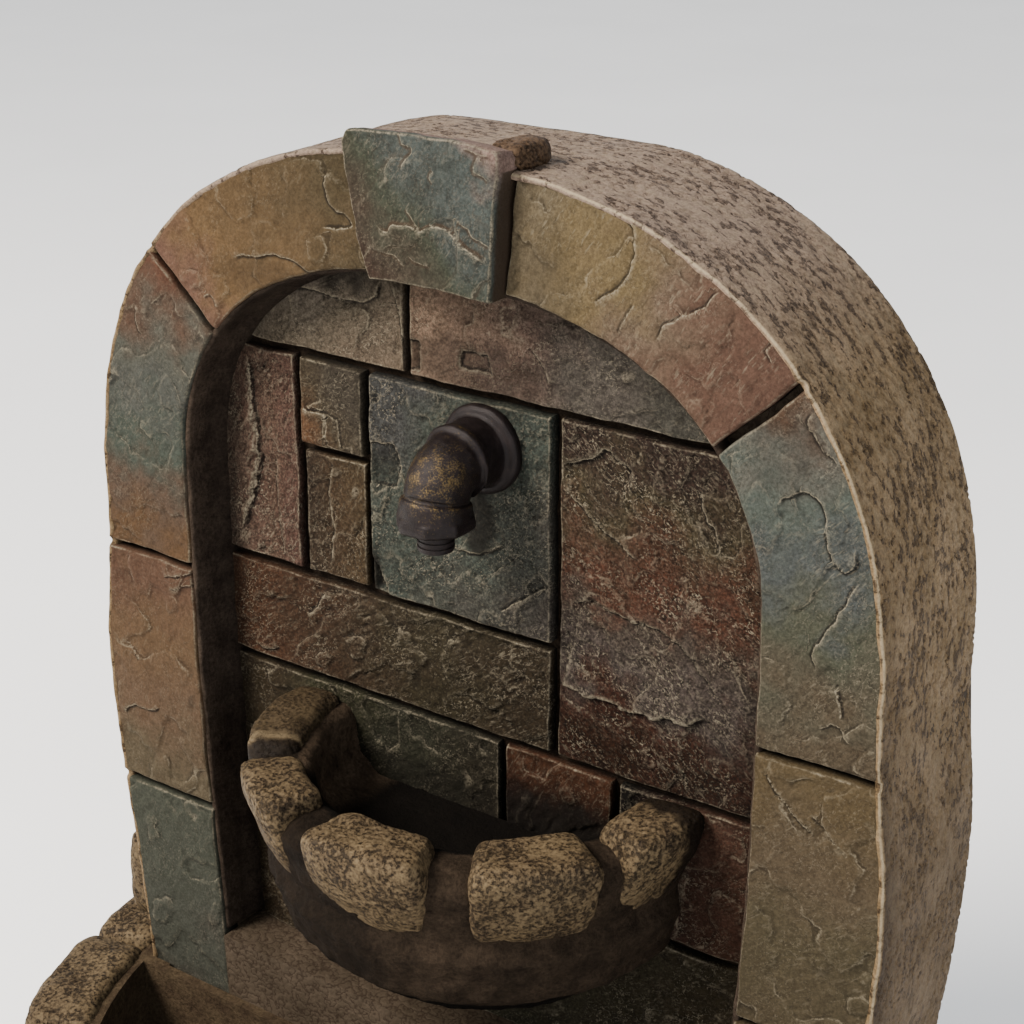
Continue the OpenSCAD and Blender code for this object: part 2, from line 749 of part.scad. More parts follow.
// Pump, lying along X under the hose
pump_z = tub_t + feet_h;
pump_mid_z = pump_z + shaft_up;
chamber_gap = 1.5;
chamber_r = impeller_r + chamber_gap;
chamber_d = 15;
pump_x1 = spout_x + chamber_d / 2 + 1;
pump_x0 = pump_x1 - pump_l;
chamber_x = pump_x1 - chamber_d;
rotor_l = 26;
rotor_gap = 0.5;
bearing_l = 5;
bearing_end = chamber_x - rotor_l - bearing_l;
pump_round = 5;
outlet_h = 4;
gland_r = 5;
gland_l = 8;
gland_up = 8;

// A flat shape with rounded corners, centred
module round_rect(w, d, r) {
    square([w - 2 * r, d], center = true);
    square([w, d - 2 * r], center = true);
    for (x = [-1, 1], y = [-1, 1])
        translate([x * (w / 2 - r), y * (d / 2 - r)]) circle(r = r, $fn = 32);
}

module pump_body() color(black_plastic) difference() {
    union() {
        translate([(pump_x0 + pump_x1) / 2, hose_y, pump_z]) linear_extrude(pump_h)
            round_rect(pump_l, pump_w, pump_round);
        translate([spout_x, hose_y, pump_z + pump_h - overlap]) {
            cylinder(r = hose_r, h = outlet_h + overlap, $fn = 48);
            cylinder(r = barb_r, h = outlet_h + overlap + barb_l, $fn = 48);
        }
        rod_x(gland_r, pump_x0 - gland_l, pump_x0 + overlap, hose_y, pump_mid_z + gland_up, 32);
    }
    rod_x(chamber_r, chamber_x, pump_x1 + overlap, hose_y, pump_mid_z);
    rod_x(magnet_r + rotor_gap, chamber_x - rotor_l, pump_x1, hose_y, pump_mid_z);
    rod_x(shaft_r + run, bearing_end, pump_x1, hose_y, pump_mid_z, 32);
    translate([spout_x, hose_y, pump_mid_z])
        cylinder(r = barb_bore, h = pump_h - shaft_up + outlet_h + barb_l + overlap, $fn = 48);
}

blade_l = 12;
blade_t = 1.5;
blade_count = 6;
hub_r = 4.5;
shaft_out = 4;
end_play = 0.3;
module impeller() color(steel) {
    rod_x(magnet_r, chamber_x - rotor_l + overlap, chamber_x + blade_t, hose_y, pump_mid_z);
    rod_x(hub_r, chamber_x, pump_x1 - chamber_gap, hose_y, pump_mid_z);
    rod_x(shaft_r, bearing_end + end_play, pump_x1 + shaft_out, hose_y, pump_mid_z, 32);
    for (i = [0:blade_count - 1]) translate([chamber_x + overlap, hose_y, pump_mid_z])
        rotate([i * 360 / blade_count, 0, 0])
            translate([0, -blade_t / 2, 0]) cube([blade_l, blade_t, impeller_r]);
}

slot_w = 3;
slot_h = 6;
slot_step = 6;
cover_wall = 3;
nose_r = 2.5;
dial_pin_r = 2;
dial_pin_l = 4;
module intake_cover() color(black_plastic) difference() {
    translate([pump_x1 + intake_d / 2, hose_y, pump_z]) linear_extrude(pump_h)
        square([intake_d, pump_w], center = true);
    difference() {
        translate([pump_x1 - overlap, hose_y - pump_w / 2 + cover_wall, pump_z + cover_wall])
            cube([intake_d - cover_wall + overlap, pump_w - 2 * cover_wall, pump_h - 2 * cover_wall]);
        rod_x(shaft_r + nose_r, pump_x1 + 0.8, pump_x1 + intake_d, hose_y, pump_mid_z, 32);
    }
    rod_x(shaft_r + run, pump_x1 - overlap, pump_x1 + shaft_out + overlap, hose_y, pump_mid_z, 32);
    // Slots of the grille, above and below the dial
    for (i = [-2:2], z = [pump_z + cover_wall + 2, pump_mid_z + dial_r + 1.5])
        translate([pump_x1 + intake_d - dial_pin_l, hose_y + i * slot_step - slot_w / 2, z])
            cube([dial_pin_l + overlap, slot_w, slot_h]);
    rod_x(dial_pin_r + run, pump_x1 + intake_d - dial_pin_l, pump_x1 + intake_d + overlap, hose_y,
        pump_mid_z, 32);
}

dial_gap = 0.3;
pointer_w = 2.4;
pointer_up = 1.5;
module flow_dial() color(steel) translate([pump_x1 + intake_d, 0, 0]) {
    rod_x(dial_r, dial_gap, dial_gap + dial_t, hose_y, pump_mid_z);
    rod_x(dial_pin_r, dial_gap - dial_pin_l + 0.2, dial_gap + overlap, hose_y, pump_mid_z, 32);
    translate([dial_gap, hose_y - pointer_w / 2, pump_mid_z])
        cube([dial_t + pointer_up, pointer_w, dial_r - 1]);
}

sucker_r = 7;
sucker_h = 2;
stem_r = 4;
foot_x = pump_l / 2 - sucker_r - 2;
foot_y = pump_w / 2 - sucker_r - 1;
module suction_feet() color(rubber) for (x = [-1, 1], y = [-1, 1])
    translate([(pump_x0 + pump_x1) / 2 + x * foot_x, hose_y + y * foot_y, tub_t]) {
        cylinder(r = sucker_r, h = sucker_h, $fn = 32);
        cylinder(r = stem_r, h = feet_h, $fn = 32);
    }

hose_low = pump_z + pump_h + outlet_h;
module hose() color(clear_hose) translate([spout_x, hose_y, hose_low]) difference() {
    cylinder(r = hose_r, h = hose_top - hose_low, $fn = 48);
    translate([0, 0, -overlap]) cylinder(r = hose_bore, h = hose_top - hose_low + 2 * overlap, $fn = 48);
}

clamp_w = 7;
clamp_t = 1;
clamp_in = 6;
ear_l = 6;
ear_w = 8;
module hose_clamps() color(steel) for (z = [hose_low + clamp_in, hose_top - clamp_in - clamp_w])
    translate([spout_x, hose_y, z]) difference() {
        union() {
            cylinder(r = hose_r + run + clamp_t, h = clamp_w, $fn = 48);
            translate([hose_r, -ear_w / 2, 0]) cube([ear_l, ear_w, clamp_w]);
        }
        translate([0, 0, -overlap]) cylinder(r = hose_r + run, h = clamp_w + 2 * overlap, $fn = 48);
    }

door_x = door_w / 2;
hinge_x = -door_x;
hinge_gap = 0.4;
hinge_y = cover_y + cover_t + knuckle_r + hinge_gap;
leaf_l = 9;
leaf_foot = 5;
leaf_t = 2;
function hinge_z() = [door_up + hinge_in, door_up + door_h - hinge_in];

// One knuckle with a leaf to the plate beside it: side is 1 for the door, -1 for the cover
module knuckle(z, side) {
    difference() {
        union() {
            translate([hinge_x, hinge_y, z]) cylinder(r = knuckle_r, h = knuckle_l, $fn = 40);
            translate([side > 0 ? hinge_x : hinge_x - leaf_l, hinge_y - knuckle_r, z])
                cube([leaf_l, leaf_t, knuckle_l]);
            translate([hinge_x + (side > 0 ? leaf_l - leaf_foot : -leaf_l), cover_y + cover_t - overlap, z])
                cube([leaf_foot, overlap + hinge_gap + leaf_t, knuckle_l]);
        }
        translate([hinge_x, hinge_y, z - overlap])
            cylinder(r = pin_r + run, h = knuckle_l + 2 * overlap, $fn = 40);
    }
}

cover_gap = 0.4;
module back_cover() color(black_plastic) difference() {
    union() {
        upright(cover_y, cover_y + cover_t) arch_face(shell_t + cover_gap, 3);
        for (z = hinge_z(), s = [-1, 1])
            knuckle(z - knuckle_l / 2 + s * (knuckle_l + hinge_gap), -1);
    }
    upright(cover_y - overlap, cover_y + cover_t + overlap)
        translate([-door_x, door_up]) square([door_w, door_h]);
    rod_y(cable_r, cable_x, cover_y - overlap, cover_y + cover_t + overlap, cable_up);
    for (p = screw_places())
        rod_y(screw_r + bed, p[0], cover_y - overlap, cover_y + cover_t + overlap, p[1], 32);
}

screw_head = 2.2;
module cover_screws() color(steel) for (p = screw_places()) {
    rod_y(screw_r, p[0], cover_y - screw_l + overlap, cover_y + cover_t + touch, p[1], 32);
    rod_y(screw_r * 1.9, p[0], cover_y + cover_t, cover_y + cover_t + screw_head, p[1], 32);
}

grommet_lip = 2;
grommet_t = 3;
module cable_grommet() color(rubber) difference() {
    union() {
        rod_y(cable_r - run, cable_x, cover_y - grommet_lip, cover_y + cover_t + grommet_lip, cable_up);
        rod_y(cable_r + grommet_t, cable_x, cover_y - grommet_lip, cover_y, cable_up);
        rod_y(cable_r + grommet_t, cable_x, cover_y + cover_t, cover_y + cover_t + grommet_lip, cable_up);
    }
    rod_y(cable_r - grommet_t, cable_x, cover_y - grommet_lip - overlap,
        cover_y + cover_t + grommet_lip + overlap, cable_up);
}

pull_x = door_x - 22;
pull_z = door_up + door_h / 2;
pull_stem = 1.5;
module access_door() color(black_plastic) difference() {
    union() {
        upright(cover_y, cover_y + cover_t) translate([-door_x + door_gap, door_up + door_gap])
            square([door_w - 2 * door_gap, door_h - 2 * door_gap]);
        for (z = hinge_z()) knuckle(z - knuckle_l / 2, 1);
    }
    rod_y(pull_stem + run, pull_x, cover_y - overlap, cover_y + cover_t + overlap, pull_z, 32);
}

module hinge_pins() color(steel) for (z = hinge_z())
    translate([hinge_x, hinge_y, z - 1.5 * knuckle_l - hinge_gap])
        cylinder(r = pin_r, h = 3 * knuckle_l + 2 * hinge_gap, $fn = 40);

module door_pull() color(steel) translate([0, cover_y + cover_t, 0]) {
    rod_y(pull_stem, pull_x, -cover_t, touch, pull_z, 32);
    rod_y(2 * pull_stem, pull_x, 0, 2 * pull_stem, pull_z, 32);
    rod_y(pull_r, pull_x, 2 * pull_stem - touch, 2 * pull_stem + pull_t, pull_z);
}

body_shell();
keystone();
color(ochre) ring_stone(1, true);  // ring_left_1
color(slate) ring_stone(2, true);  // ring_left_2
color(rust) ring_stone(3, true);  // ring_left_3
color(slate) ring_stone(4, true);  // ring_left_4
color(ochre) ring_stone(1, false);  // ring_right_1
color(slate) ring_stone(2, false);  // ring_right_2
color(brown) ring_stone(3, false);  // ring_right_3
color(tan_cast) ring_stone(4, false);  // ring_right_4
color(brown) slab(-far, col_top, level_1, far * 2);  // slab_top_left
color(rust) slab(col_top, far, level_1, far * 2, 1);  // slab_top_right
color(rust) slab(-far, col_tall, level_2, level_1, 1);  // slab_tall
color(brown) slab(col_tall, col_left, level_small, level_1, 2);  // slab_small_upper
color(brown) slab(col_tall, col_left, level_2, level_small);  // slab_small_lower
slab_spout();
color(brown) slab(col_right, far, level_3, level_1);  // slab_big_right
color(rust) slab(-far, col_right, level_3, level_2, 1);  // slab_long
color(slate) low_slab(-far, col_low_1);  // slab_low_1
color(rust) low_slab(col_low_1, col_low_2);  // slab_low_2
color(brown) low_slab(col_low_2, far);  // slab_low_3
color(brown) slab(-far, col_foot, level_foot, level_4);  // slab_foot_left
color(slate) slab(col_foot, far, level_foot, level_4);  // slab_foot_right
spout_elbow();
spout_nipple();
tail_pipe();
seal_washer();
lock_nut();
hose_elbow();
upper_bowl();
bowl_stone(1);  // bowl_stone_1
bowl_stone(2);  // bowl_stone_2
bowl_stone(3);  // bowl_stone_3
bowl_stone(4);  // bowl_stone_4
bowl_stone(5);  // bowl_stone_5
bowl_bolts();
basin_tub();
upper_stones(0, side_count - 1);  // basin_stones_left
upper_stones(side_count, upper_count - side_count - 1);  // basin_stones_front
upper_stones(upper_count - side_count, upper_count - 1);  // basin_stones_right
basin_stones_lower();
shoulder(true);  // shoulder_left
shoulder(false);  // shoulder_right
pump_body();
impeller();
intake_cover();
flow_dial();
suction_feet();
hose();
hose_clamps();
back_cover();
cover_screws();
cable_grommet();
access_door();
hinge_pins();
door_pull();
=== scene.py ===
import itertools
import math

import bpy
import numpy as np
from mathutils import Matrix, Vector


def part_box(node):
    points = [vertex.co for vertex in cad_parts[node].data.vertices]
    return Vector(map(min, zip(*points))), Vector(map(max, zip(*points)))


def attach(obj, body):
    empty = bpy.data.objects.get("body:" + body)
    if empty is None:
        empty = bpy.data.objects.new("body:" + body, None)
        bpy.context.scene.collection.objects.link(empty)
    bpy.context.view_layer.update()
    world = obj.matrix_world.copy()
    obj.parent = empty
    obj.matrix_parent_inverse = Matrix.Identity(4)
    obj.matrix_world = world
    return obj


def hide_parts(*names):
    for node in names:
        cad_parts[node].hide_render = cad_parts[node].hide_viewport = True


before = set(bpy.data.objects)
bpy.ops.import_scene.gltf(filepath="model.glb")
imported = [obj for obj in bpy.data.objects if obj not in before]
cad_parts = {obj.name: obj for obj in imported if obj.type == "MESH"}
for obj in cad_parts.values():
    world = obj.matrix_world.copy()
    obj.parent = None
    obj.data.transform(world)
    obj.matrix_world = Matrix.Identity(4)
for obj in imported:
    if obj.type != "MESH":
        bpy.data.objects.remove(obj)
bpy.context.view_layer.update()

# Lengths below are millimetres, and meshes are made in metres
MM = 0.001


def edge(node, axis, end):
    """A CAD node's lowest (end 0) or highest (end 1) place along an axis, in millimetres."""
    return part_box(node)[end]["xyz".index(axis)] / MM


# Depths and heights from the frame
ring_y = edge("ring_right_2", "y", 0)
key_y = edge("keystone", "y", 0)
key_back = edge("keystone", "y", 1)
key_top = edge("keystone", "z", 1)
slab_y = edge("slab_long", "y", 0) + 1
panel_y = edge("slab_long", "y", 1)
stone_back = panel_y - 26
back_y = edge("body_shell", "y", 1)
arch_top = edge("body_shell", "z", 1)
rim_z = edge("bowl_stone_3", "z", 1)
rim_low = edge("bowl_stone_3", "z", 0)
bowl_low = edge("upper_bowl", "z", 0)
bowl_x = (edge("upper_bowl", "x", 0) + edge("upper_bowl", "x", 1)) / 2
basin_r = edge("basin_stones_lower", "x", 1)
stones_top = edge("basin_stones_front", "z", 1)
course_h = edge("basin_stones_lower", "z", 1)
spout_x = (edge("spout_elbow", "x", 0) + edge("spout_elbow", "x", 1)) / 2

# The arch: superellipse over the spring line, with a slight belly and drawn-in feet below it
spring_z = 470
arch_half = 240
arch_rise = arch_top - spring_z
arch_power = 2.4
belly = 8
belly_drop = 90
foot_in = 16
foot_run = 240
# The niche in it
niche_half = 178
niche_spring = spring_z + 33.5
niche_rise = 141.5
niche_power = 2.36
niche_in = 10
niche_in_from = 60
niche_in_run = 270
niche_top = niche_spring + niche_rise
sill_z = 208
# The ring's joints
joint_w = 4
joint_1_slope = math.radians(43)
joint_1 = (151, spring_z + 122)
joint_2_z = spring_z - 20
joint_3_z = spring_z - 173
leg_foot = 8
key_low_half = 35
key_top_half = 44
slab_joint = 5


def linear(code):
    """An sRGB hex colour as linear red, green, blue and alpha."""
    parts = [int(code[i:i + 2], 16) / 255 for i in (1, 3, 5)]
    return [p / 12.92 if p <= 0.04045 else ((p + 0.055) / 1.055) ** 2.4 for p in parts] + [1]


GRADIENTS = np.random.default_rng(11).normal(size=(256, 3))
GRADIENTS /= np.linalg.norm(GRADIENTS, axis=1)[:, None]


def noise(points, size, seed):
    """Smooth noise from about -1 to 1 at points in mm, with bumps about size mm across."""
    p = np.asarray(points, float) / size
    # The primes and shifts scramble a cell's place into the number of its gradient
    cell = np.floor(p).astype(np.int64)
    part = p - cell
    fade = part ** 3 * (part * (part * 6 - 15) + 10)
    primes = (73856093, 19349663, 83492791)
    total = 0
    for corner in itertools.product((0, 1), repeat=p.shape[-1]):
        mixed = np.full(p.shape[:-1], seed * 668265263, np.int64)
        weight = 1
        for i, one in enumerate(corner):
            mixed = mixed ^ ((cell[..., i] + one) * primes[i])
            weight = weight * (fade[..., i] if one else 1 - fade[..., i])
        mixed = (mixed ^ (mixed >> 13)) * 1540483477
        mixed = (mixed ^ (mixed >> 15)) & 255
        slope = GRADIENTS[mixed][..., :p.shape[-1]]
        total = total + weight * ((part - corner) * slope).sum(-1)
    return total * 1.7


def clouds(points, size, seed, layers=4, keep=0.5):
    """Noise in layers, each half as large as the one before."""
    total = 0
    for i in range(layers):
        total = total + keep ** i * noise(points, size / 2 ** i, seed + 17 * i)
    return total


def smooth(t):
    """A smooth step from 0 to 1."""
    t = np.clip(t, 0, 1)
    return t * t * (3 - 2 * t)


def ease(t):
    """A step from 0 to 1, as a cosine."""
    return (1 - np.cos(np.pi * np.clip(t, 0, 1))) / 2


def arch_side(drop):
    """Half width of the arch at a drop below its spring line."""
    return arch_half + belly * ease(drop / belly_drop) - foot_in * ease((drop - belly_drop) / foot_run)


def niche_side(z):
    """Half width of the niche at a height."""
    drop = spring_z - z
    below = niche_half - niche_in * ease((drop - niche_in_from) / niche_in_run)
    up = np.clip((z - niche_spring) / niche_rise, 0, 1)
    return np.where(z < niche_spring, below, niche_half * (1 - up ** niche_power) ** (1 / niche_power))


def quarter(half, rise, power, count=600):
    """A quarter of a superellipse, from its side up to its crown."""
    turn = np.linspace(0, math.pi / 2, count)
    return half * np.cos(turn) ** (2 / power), rise * np.abs(np.sin(turn)) ** (2 / power)


def arch_line(grow=0, low=0):
    """Right half of the arch's outline from the floor up to the crown, as points across and up."""
    drop = np.linspace(spring_z - low, 0, 300, endpoint=False)
    x, z = quarter(arch_half + grow, arch_rise + grow, arch_power)
    return np.array([np.r_[arch_side(drop) + grow, x], np.r_[spring_z - drop, spring_z + z]]).T


def niche_line(grow=0, low=0):
    """Right half of the niche's outline from a height up to its crown."""
    z = np.linspace(low, niche_spring, 300, endpoint=False)
    x, up = quarter(niche_half + grow, niche_rise + grow, niche_power)
    return np.array([np.r_[niche_side(z) + grow, x], np.r_[z, niche_spring + up]]).T


def lengths(line):
    """How far along a line each of its points lies."""
    return np.r_[0, np.cumsum(np.linalg.norm(np.diff(line, axis=0), axis=1))]


def along(line, places):
    """Points on a line at distances along it."""
    run = lengths(line)
    return np.stack([np.interp(places, run, line[:, i]) for i in range(line.shape[1])], -1)


def resampled(line, count):
    """Points at even distances along a line."""
    return along(line, np.linspace(0, lengths(line)[-1], count))


def crossing(line, point, slope, shift=0):
    """How far along a line it crosses a straight one through a point, moved up by shift."""
    off = (line[:, 1] - point[1]) * math.cos(slope) - (line[:, 0] - point[0]) * math.sin(slope) - shift
    i = int(np.argmax(off > 0)) - 1
    run = lengths(line)
    return run[i] + (run[i + 1] - run[i]) * off[i] / (off[i] - off[i + 1])


def spaced(length, step):
    """Places along a length, close together at both ends for the rounded edges."""
    close = [0, 0.3, 0.7, 1.2, 1.9, 2.8]
    middle = np.linspace(4, length - 4, max(3, round((length - 8) / step)))
    return np.r_[close, middle, length - np.array(close[::-1])]


def blurred(grid, passes):
    """A grid of numbers, evened out with its neighbours."""
    for _ in range(passes):
        for axis in (0, 1):
            side = np.concatenate([grid.take([0], axis), grid, grid.take([-1], axis)], axis)
            grid = (side.take(range(0, grid.shape[axis]), axis)
                    + 2 * side.take(range(1, grid.shape[axis] + 1), axis)
                    + side.take(range(2, grid.shape[axis] + 2), axis)) / 4
    return grid


def wander(x, z):
    """How far the hand-cut joints and edges stray from their lines, alike on both sides of a joint."""
    p = np.stack([x, z], -1)
    return (0.9 * noise(p, 31, 5) + 0.35 * noise(p, 9, 6), 0.9 * noise(p, 31, 7) + 0.35 * noise(p, 9, 8))


def nearest(x, z, line):
    """Signed distance to a line of points (above it is positive), and how far along it, 0 to 1."""
    line = np.array(line, float)
    run = lengths(line)
    best = np.full(x.shape, 1e9)
    signed = np.zeros(x.shape)
    place = np.zeros(x.shape)
    for i in range(len(line) - 1):
        step = line[i + 1] - line[i]
        size = np.hypot(*step)
        t = np.clip(((x - line[i, 0]) * step[0] + (z - line[i, 1]) * step[1]) / size ** 2, 0, 1)
        dx = x - line[i, 0] - t * step[0]
        dz = z - line[i, 1] - t * step[1]
        far = np.hypot(dx, dz)
        closer = far < best
        best = np.where(closer, far, best)
        turn = np.where(step[0] * (z - line[i, 1]) - step[1] * (x - line[i, 0]) > 0, 1.0, -1.0)
        signed = np.where(closer, far * turn, signed)
        place = np.where(closer, (run[i] + t * size) / run[-1], place)
    return signed, place


def eased(line):
    """A line with its corners cut, so that it bends as a broken edge does."""
    line = np.array(line, float)
    a, b = line[:-1], line[1:]
    middle = np.stack([a * 0.75 + b * 0.25, a * 0.25 + b * 0.75], 1).reshape(-1, 2)
    return np.concatenate([line[:1], middle, line[-1:]])


def ledge(x, z, line, rise, run, seed):
    """A flake's broken edge: a sharp step that fades behind it. Gives height, distance to it and strength."""
    p = np.stack([x, z], -1)
    off, place = nearest(x, z, eased(line))
    off = off + 0.9 * noise(p, 6, seed)
    ends = smooth(place / 0.1) * smooth((1 - place) / 0.1)
    up = rise * smooth(off / 1.0 + 0.5) * np.exp(-np.clip(off, 0, None) / run) * ends
    return up, off * np.sign(rise), ends * min(1, 0.45 + 0.35 * abs(rise))


def flake(x, z, outline, rise, seed):
    """A closed flake that stands out (or a recess, where rise is below 0), as a ledge is given."""
    p = np.stack([x, z], -1)
    inside = np.zeros(x.shape, bool)
    outline = np.array(outline, float)
    for a, b in zip(outline, np.roll(outline, -1, 0)):
        level = (a[1] > z) != (b[1] > z)
        with np.errstate(divide="ignore", invalid="ignore"):
            inside ^= level & (x < (b[0] - a[0]) * (z - a[1]) / (b[1] - a[1]) + a[0])
    off = np.abs(nearest(x, z, np.r_[outline, outline[:1]])[0])
    off = np.where(inside, off, -off) + 0.9 * noise(p, 6, seed)
    return rise * smooth(off / 1.2 + 0.5), off * np.sign(rise), 0 * off + min(1, 0.45 + 0.3 * abs(rise))


def grain(x, z, lean, width, stretch, seed):
    """Fine slanting ridges, as slate splits across its bedding."""
    turn = math.radians(lean)
    a = x * math.cos(turn) + z * math.sin(turn)
    b = z * math.cos(turn) - x * math.sin(turn)
    p = np.stack([a / stretch, b + 0.8 * noise(np.stack([x, z], -1), 9, seed)], -1)
    return 1 - 2 * np.abs(clouds(p, width, seed + 2, 3, 0.6))


def edge_distances(X, Z):
    """Distance of each grid point to the patch's four sides: first and last row, first and last column."""
    up = np.hypot(np.diff(X, axis=0), np.diff(Z, axis=0)).cumsum(0)
    up = np.concatenate([np.zeros((1, X.shape[1])), up])
    over = np.hypot(np.diff(X, axis=1), np.diff(Z, axis=1)).cumsum(1)
    over = np.concatenate([np.zeros((X.shape[0], 1)), over], 1)
    return up, up[-1:] - up, over, over[:, -1:] - over


def arris(distance, radius):
    """How far a rounded edge falls at a distance from it."""
    t = np.clip(1 - distance / radius, 0, 1)
    return radius * (1 - np.sqrt(1 - t ** 2))


def grid_faces(rows, cols, start=0, closed=False):
    """Quads of a grid of points. closed joins its last column to its first."""
    i = np.arange(rows - 1)[:, None]
    j = np.arange(cols if closed else cols - 1)[None, :]
    k = (j + 1) % cols
    quads = np.stack([i * cols + j, i * cols + k, (i + 1) * cols + k, (i + 1) * cols + j], -1)
    return quads.reshape(-1, 4) + start


def make(name, points, faces, finish, values=None, replaces=(), body="fountain"):
    """A mesh piece from points in mm and faces, with its material and values for each point."""
    mesh = bpy.data.meshes.new(name)
    mesh.from_pydata((np.asarray(points) * MM).tolist(), [], [list(map(int, f)) for f in faces])
    mesh.shade_smooth()
    for key, numbers in (values or {}).items():
        layer = mesh.attributes.new(key, "FLOAT", "POINT")
        layer.data.foreach_set("value", np.asarray(numbers, np.float32).ravel())
    mesh.materials.append(finish)
    piece = bpy.data.objects.new(name, mesh)
    bpy.context.scene.collection.objects.link(piece)
    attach(piece, body)
    if replaces:
        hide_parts(*replaces)
    return piece


def add(tree, kind, inputs, stops=None, **settings):
    """Adds a node with its settings.

    An input is a value, a socket or node to link, or a sum: a Math operation's name and what it takes.
    """
    node = tree.nodes.new("ShaderNode" + kind)
    if kind == "Mix":
        node.data_type = "RGBA"
    for name, value in settings.items():
        setattr(node, name, value)
    if stops:
        ramp = node.color_ramp.elements
        ramp[0].position = stops[0][0]
        ramp[1].position = stops[-1][0]
        for place, _ in stops[1:-1]:
            ramp.new(place)
        for element, (_, colour) in zip(ramp, stops):
            element.color = linear(colour)
    sockets = [s for s in node.inputs if s.enabled]
    for key, value in inputs.items():
        socket = sockets[key] if isinstance(key, int) else next(s for s in sockets if s.name == key)
        if isinstance(value, tuple) and isinstance(value[0], str):
            value = add(tree, "Math", dict(enumerate(value[1:])), operation=value[0])
        if isinstance(value, bpy.types.Node):
            value = next(s for s in value.outputs if s.enabled)
        if isinstance(value, bpy.types.NodeSocket):
            tree.links.new(value, socket)
        else:
            socket.default_value = value
    return node


def per_mm(size):
    """Texture scale that makes a pattern size mm wide."""
    return 1 / (size * MM)


def start(name):
    """A new material with its node tree and the place on the object."""
    made = bpy.data.materials.new(name)
    made.use_nodes = True
    made.node_tree.nodes.clear()
    return made, made.node_tree, add(made.node_tree, "TexCoord", {}).outputs["Object"]


def attribute(tree, name):
    """One of a mesh's painted values, as a number."""
    return add(tree, "Attribute", {}, attribute_name=name).outputs["Fac"]


def shade(tree, bump, depth, **inputs):
    """Ends a material: its shader, with bump of a depth in mm."""
    normal = add(tree, "Bump", {"Height": bump, "Distance": depth * MM, "Strength": 1.0})
    sockets = {key.replace("_", " ").title().replace("Ior", "IOR"): value for key, value in inputs.items()}
    shader = add(tree, "BsdfPrincipled", {**sockets, "Normal": normal})
    add(tree, "OutputMaterial", {"Surface": shader})


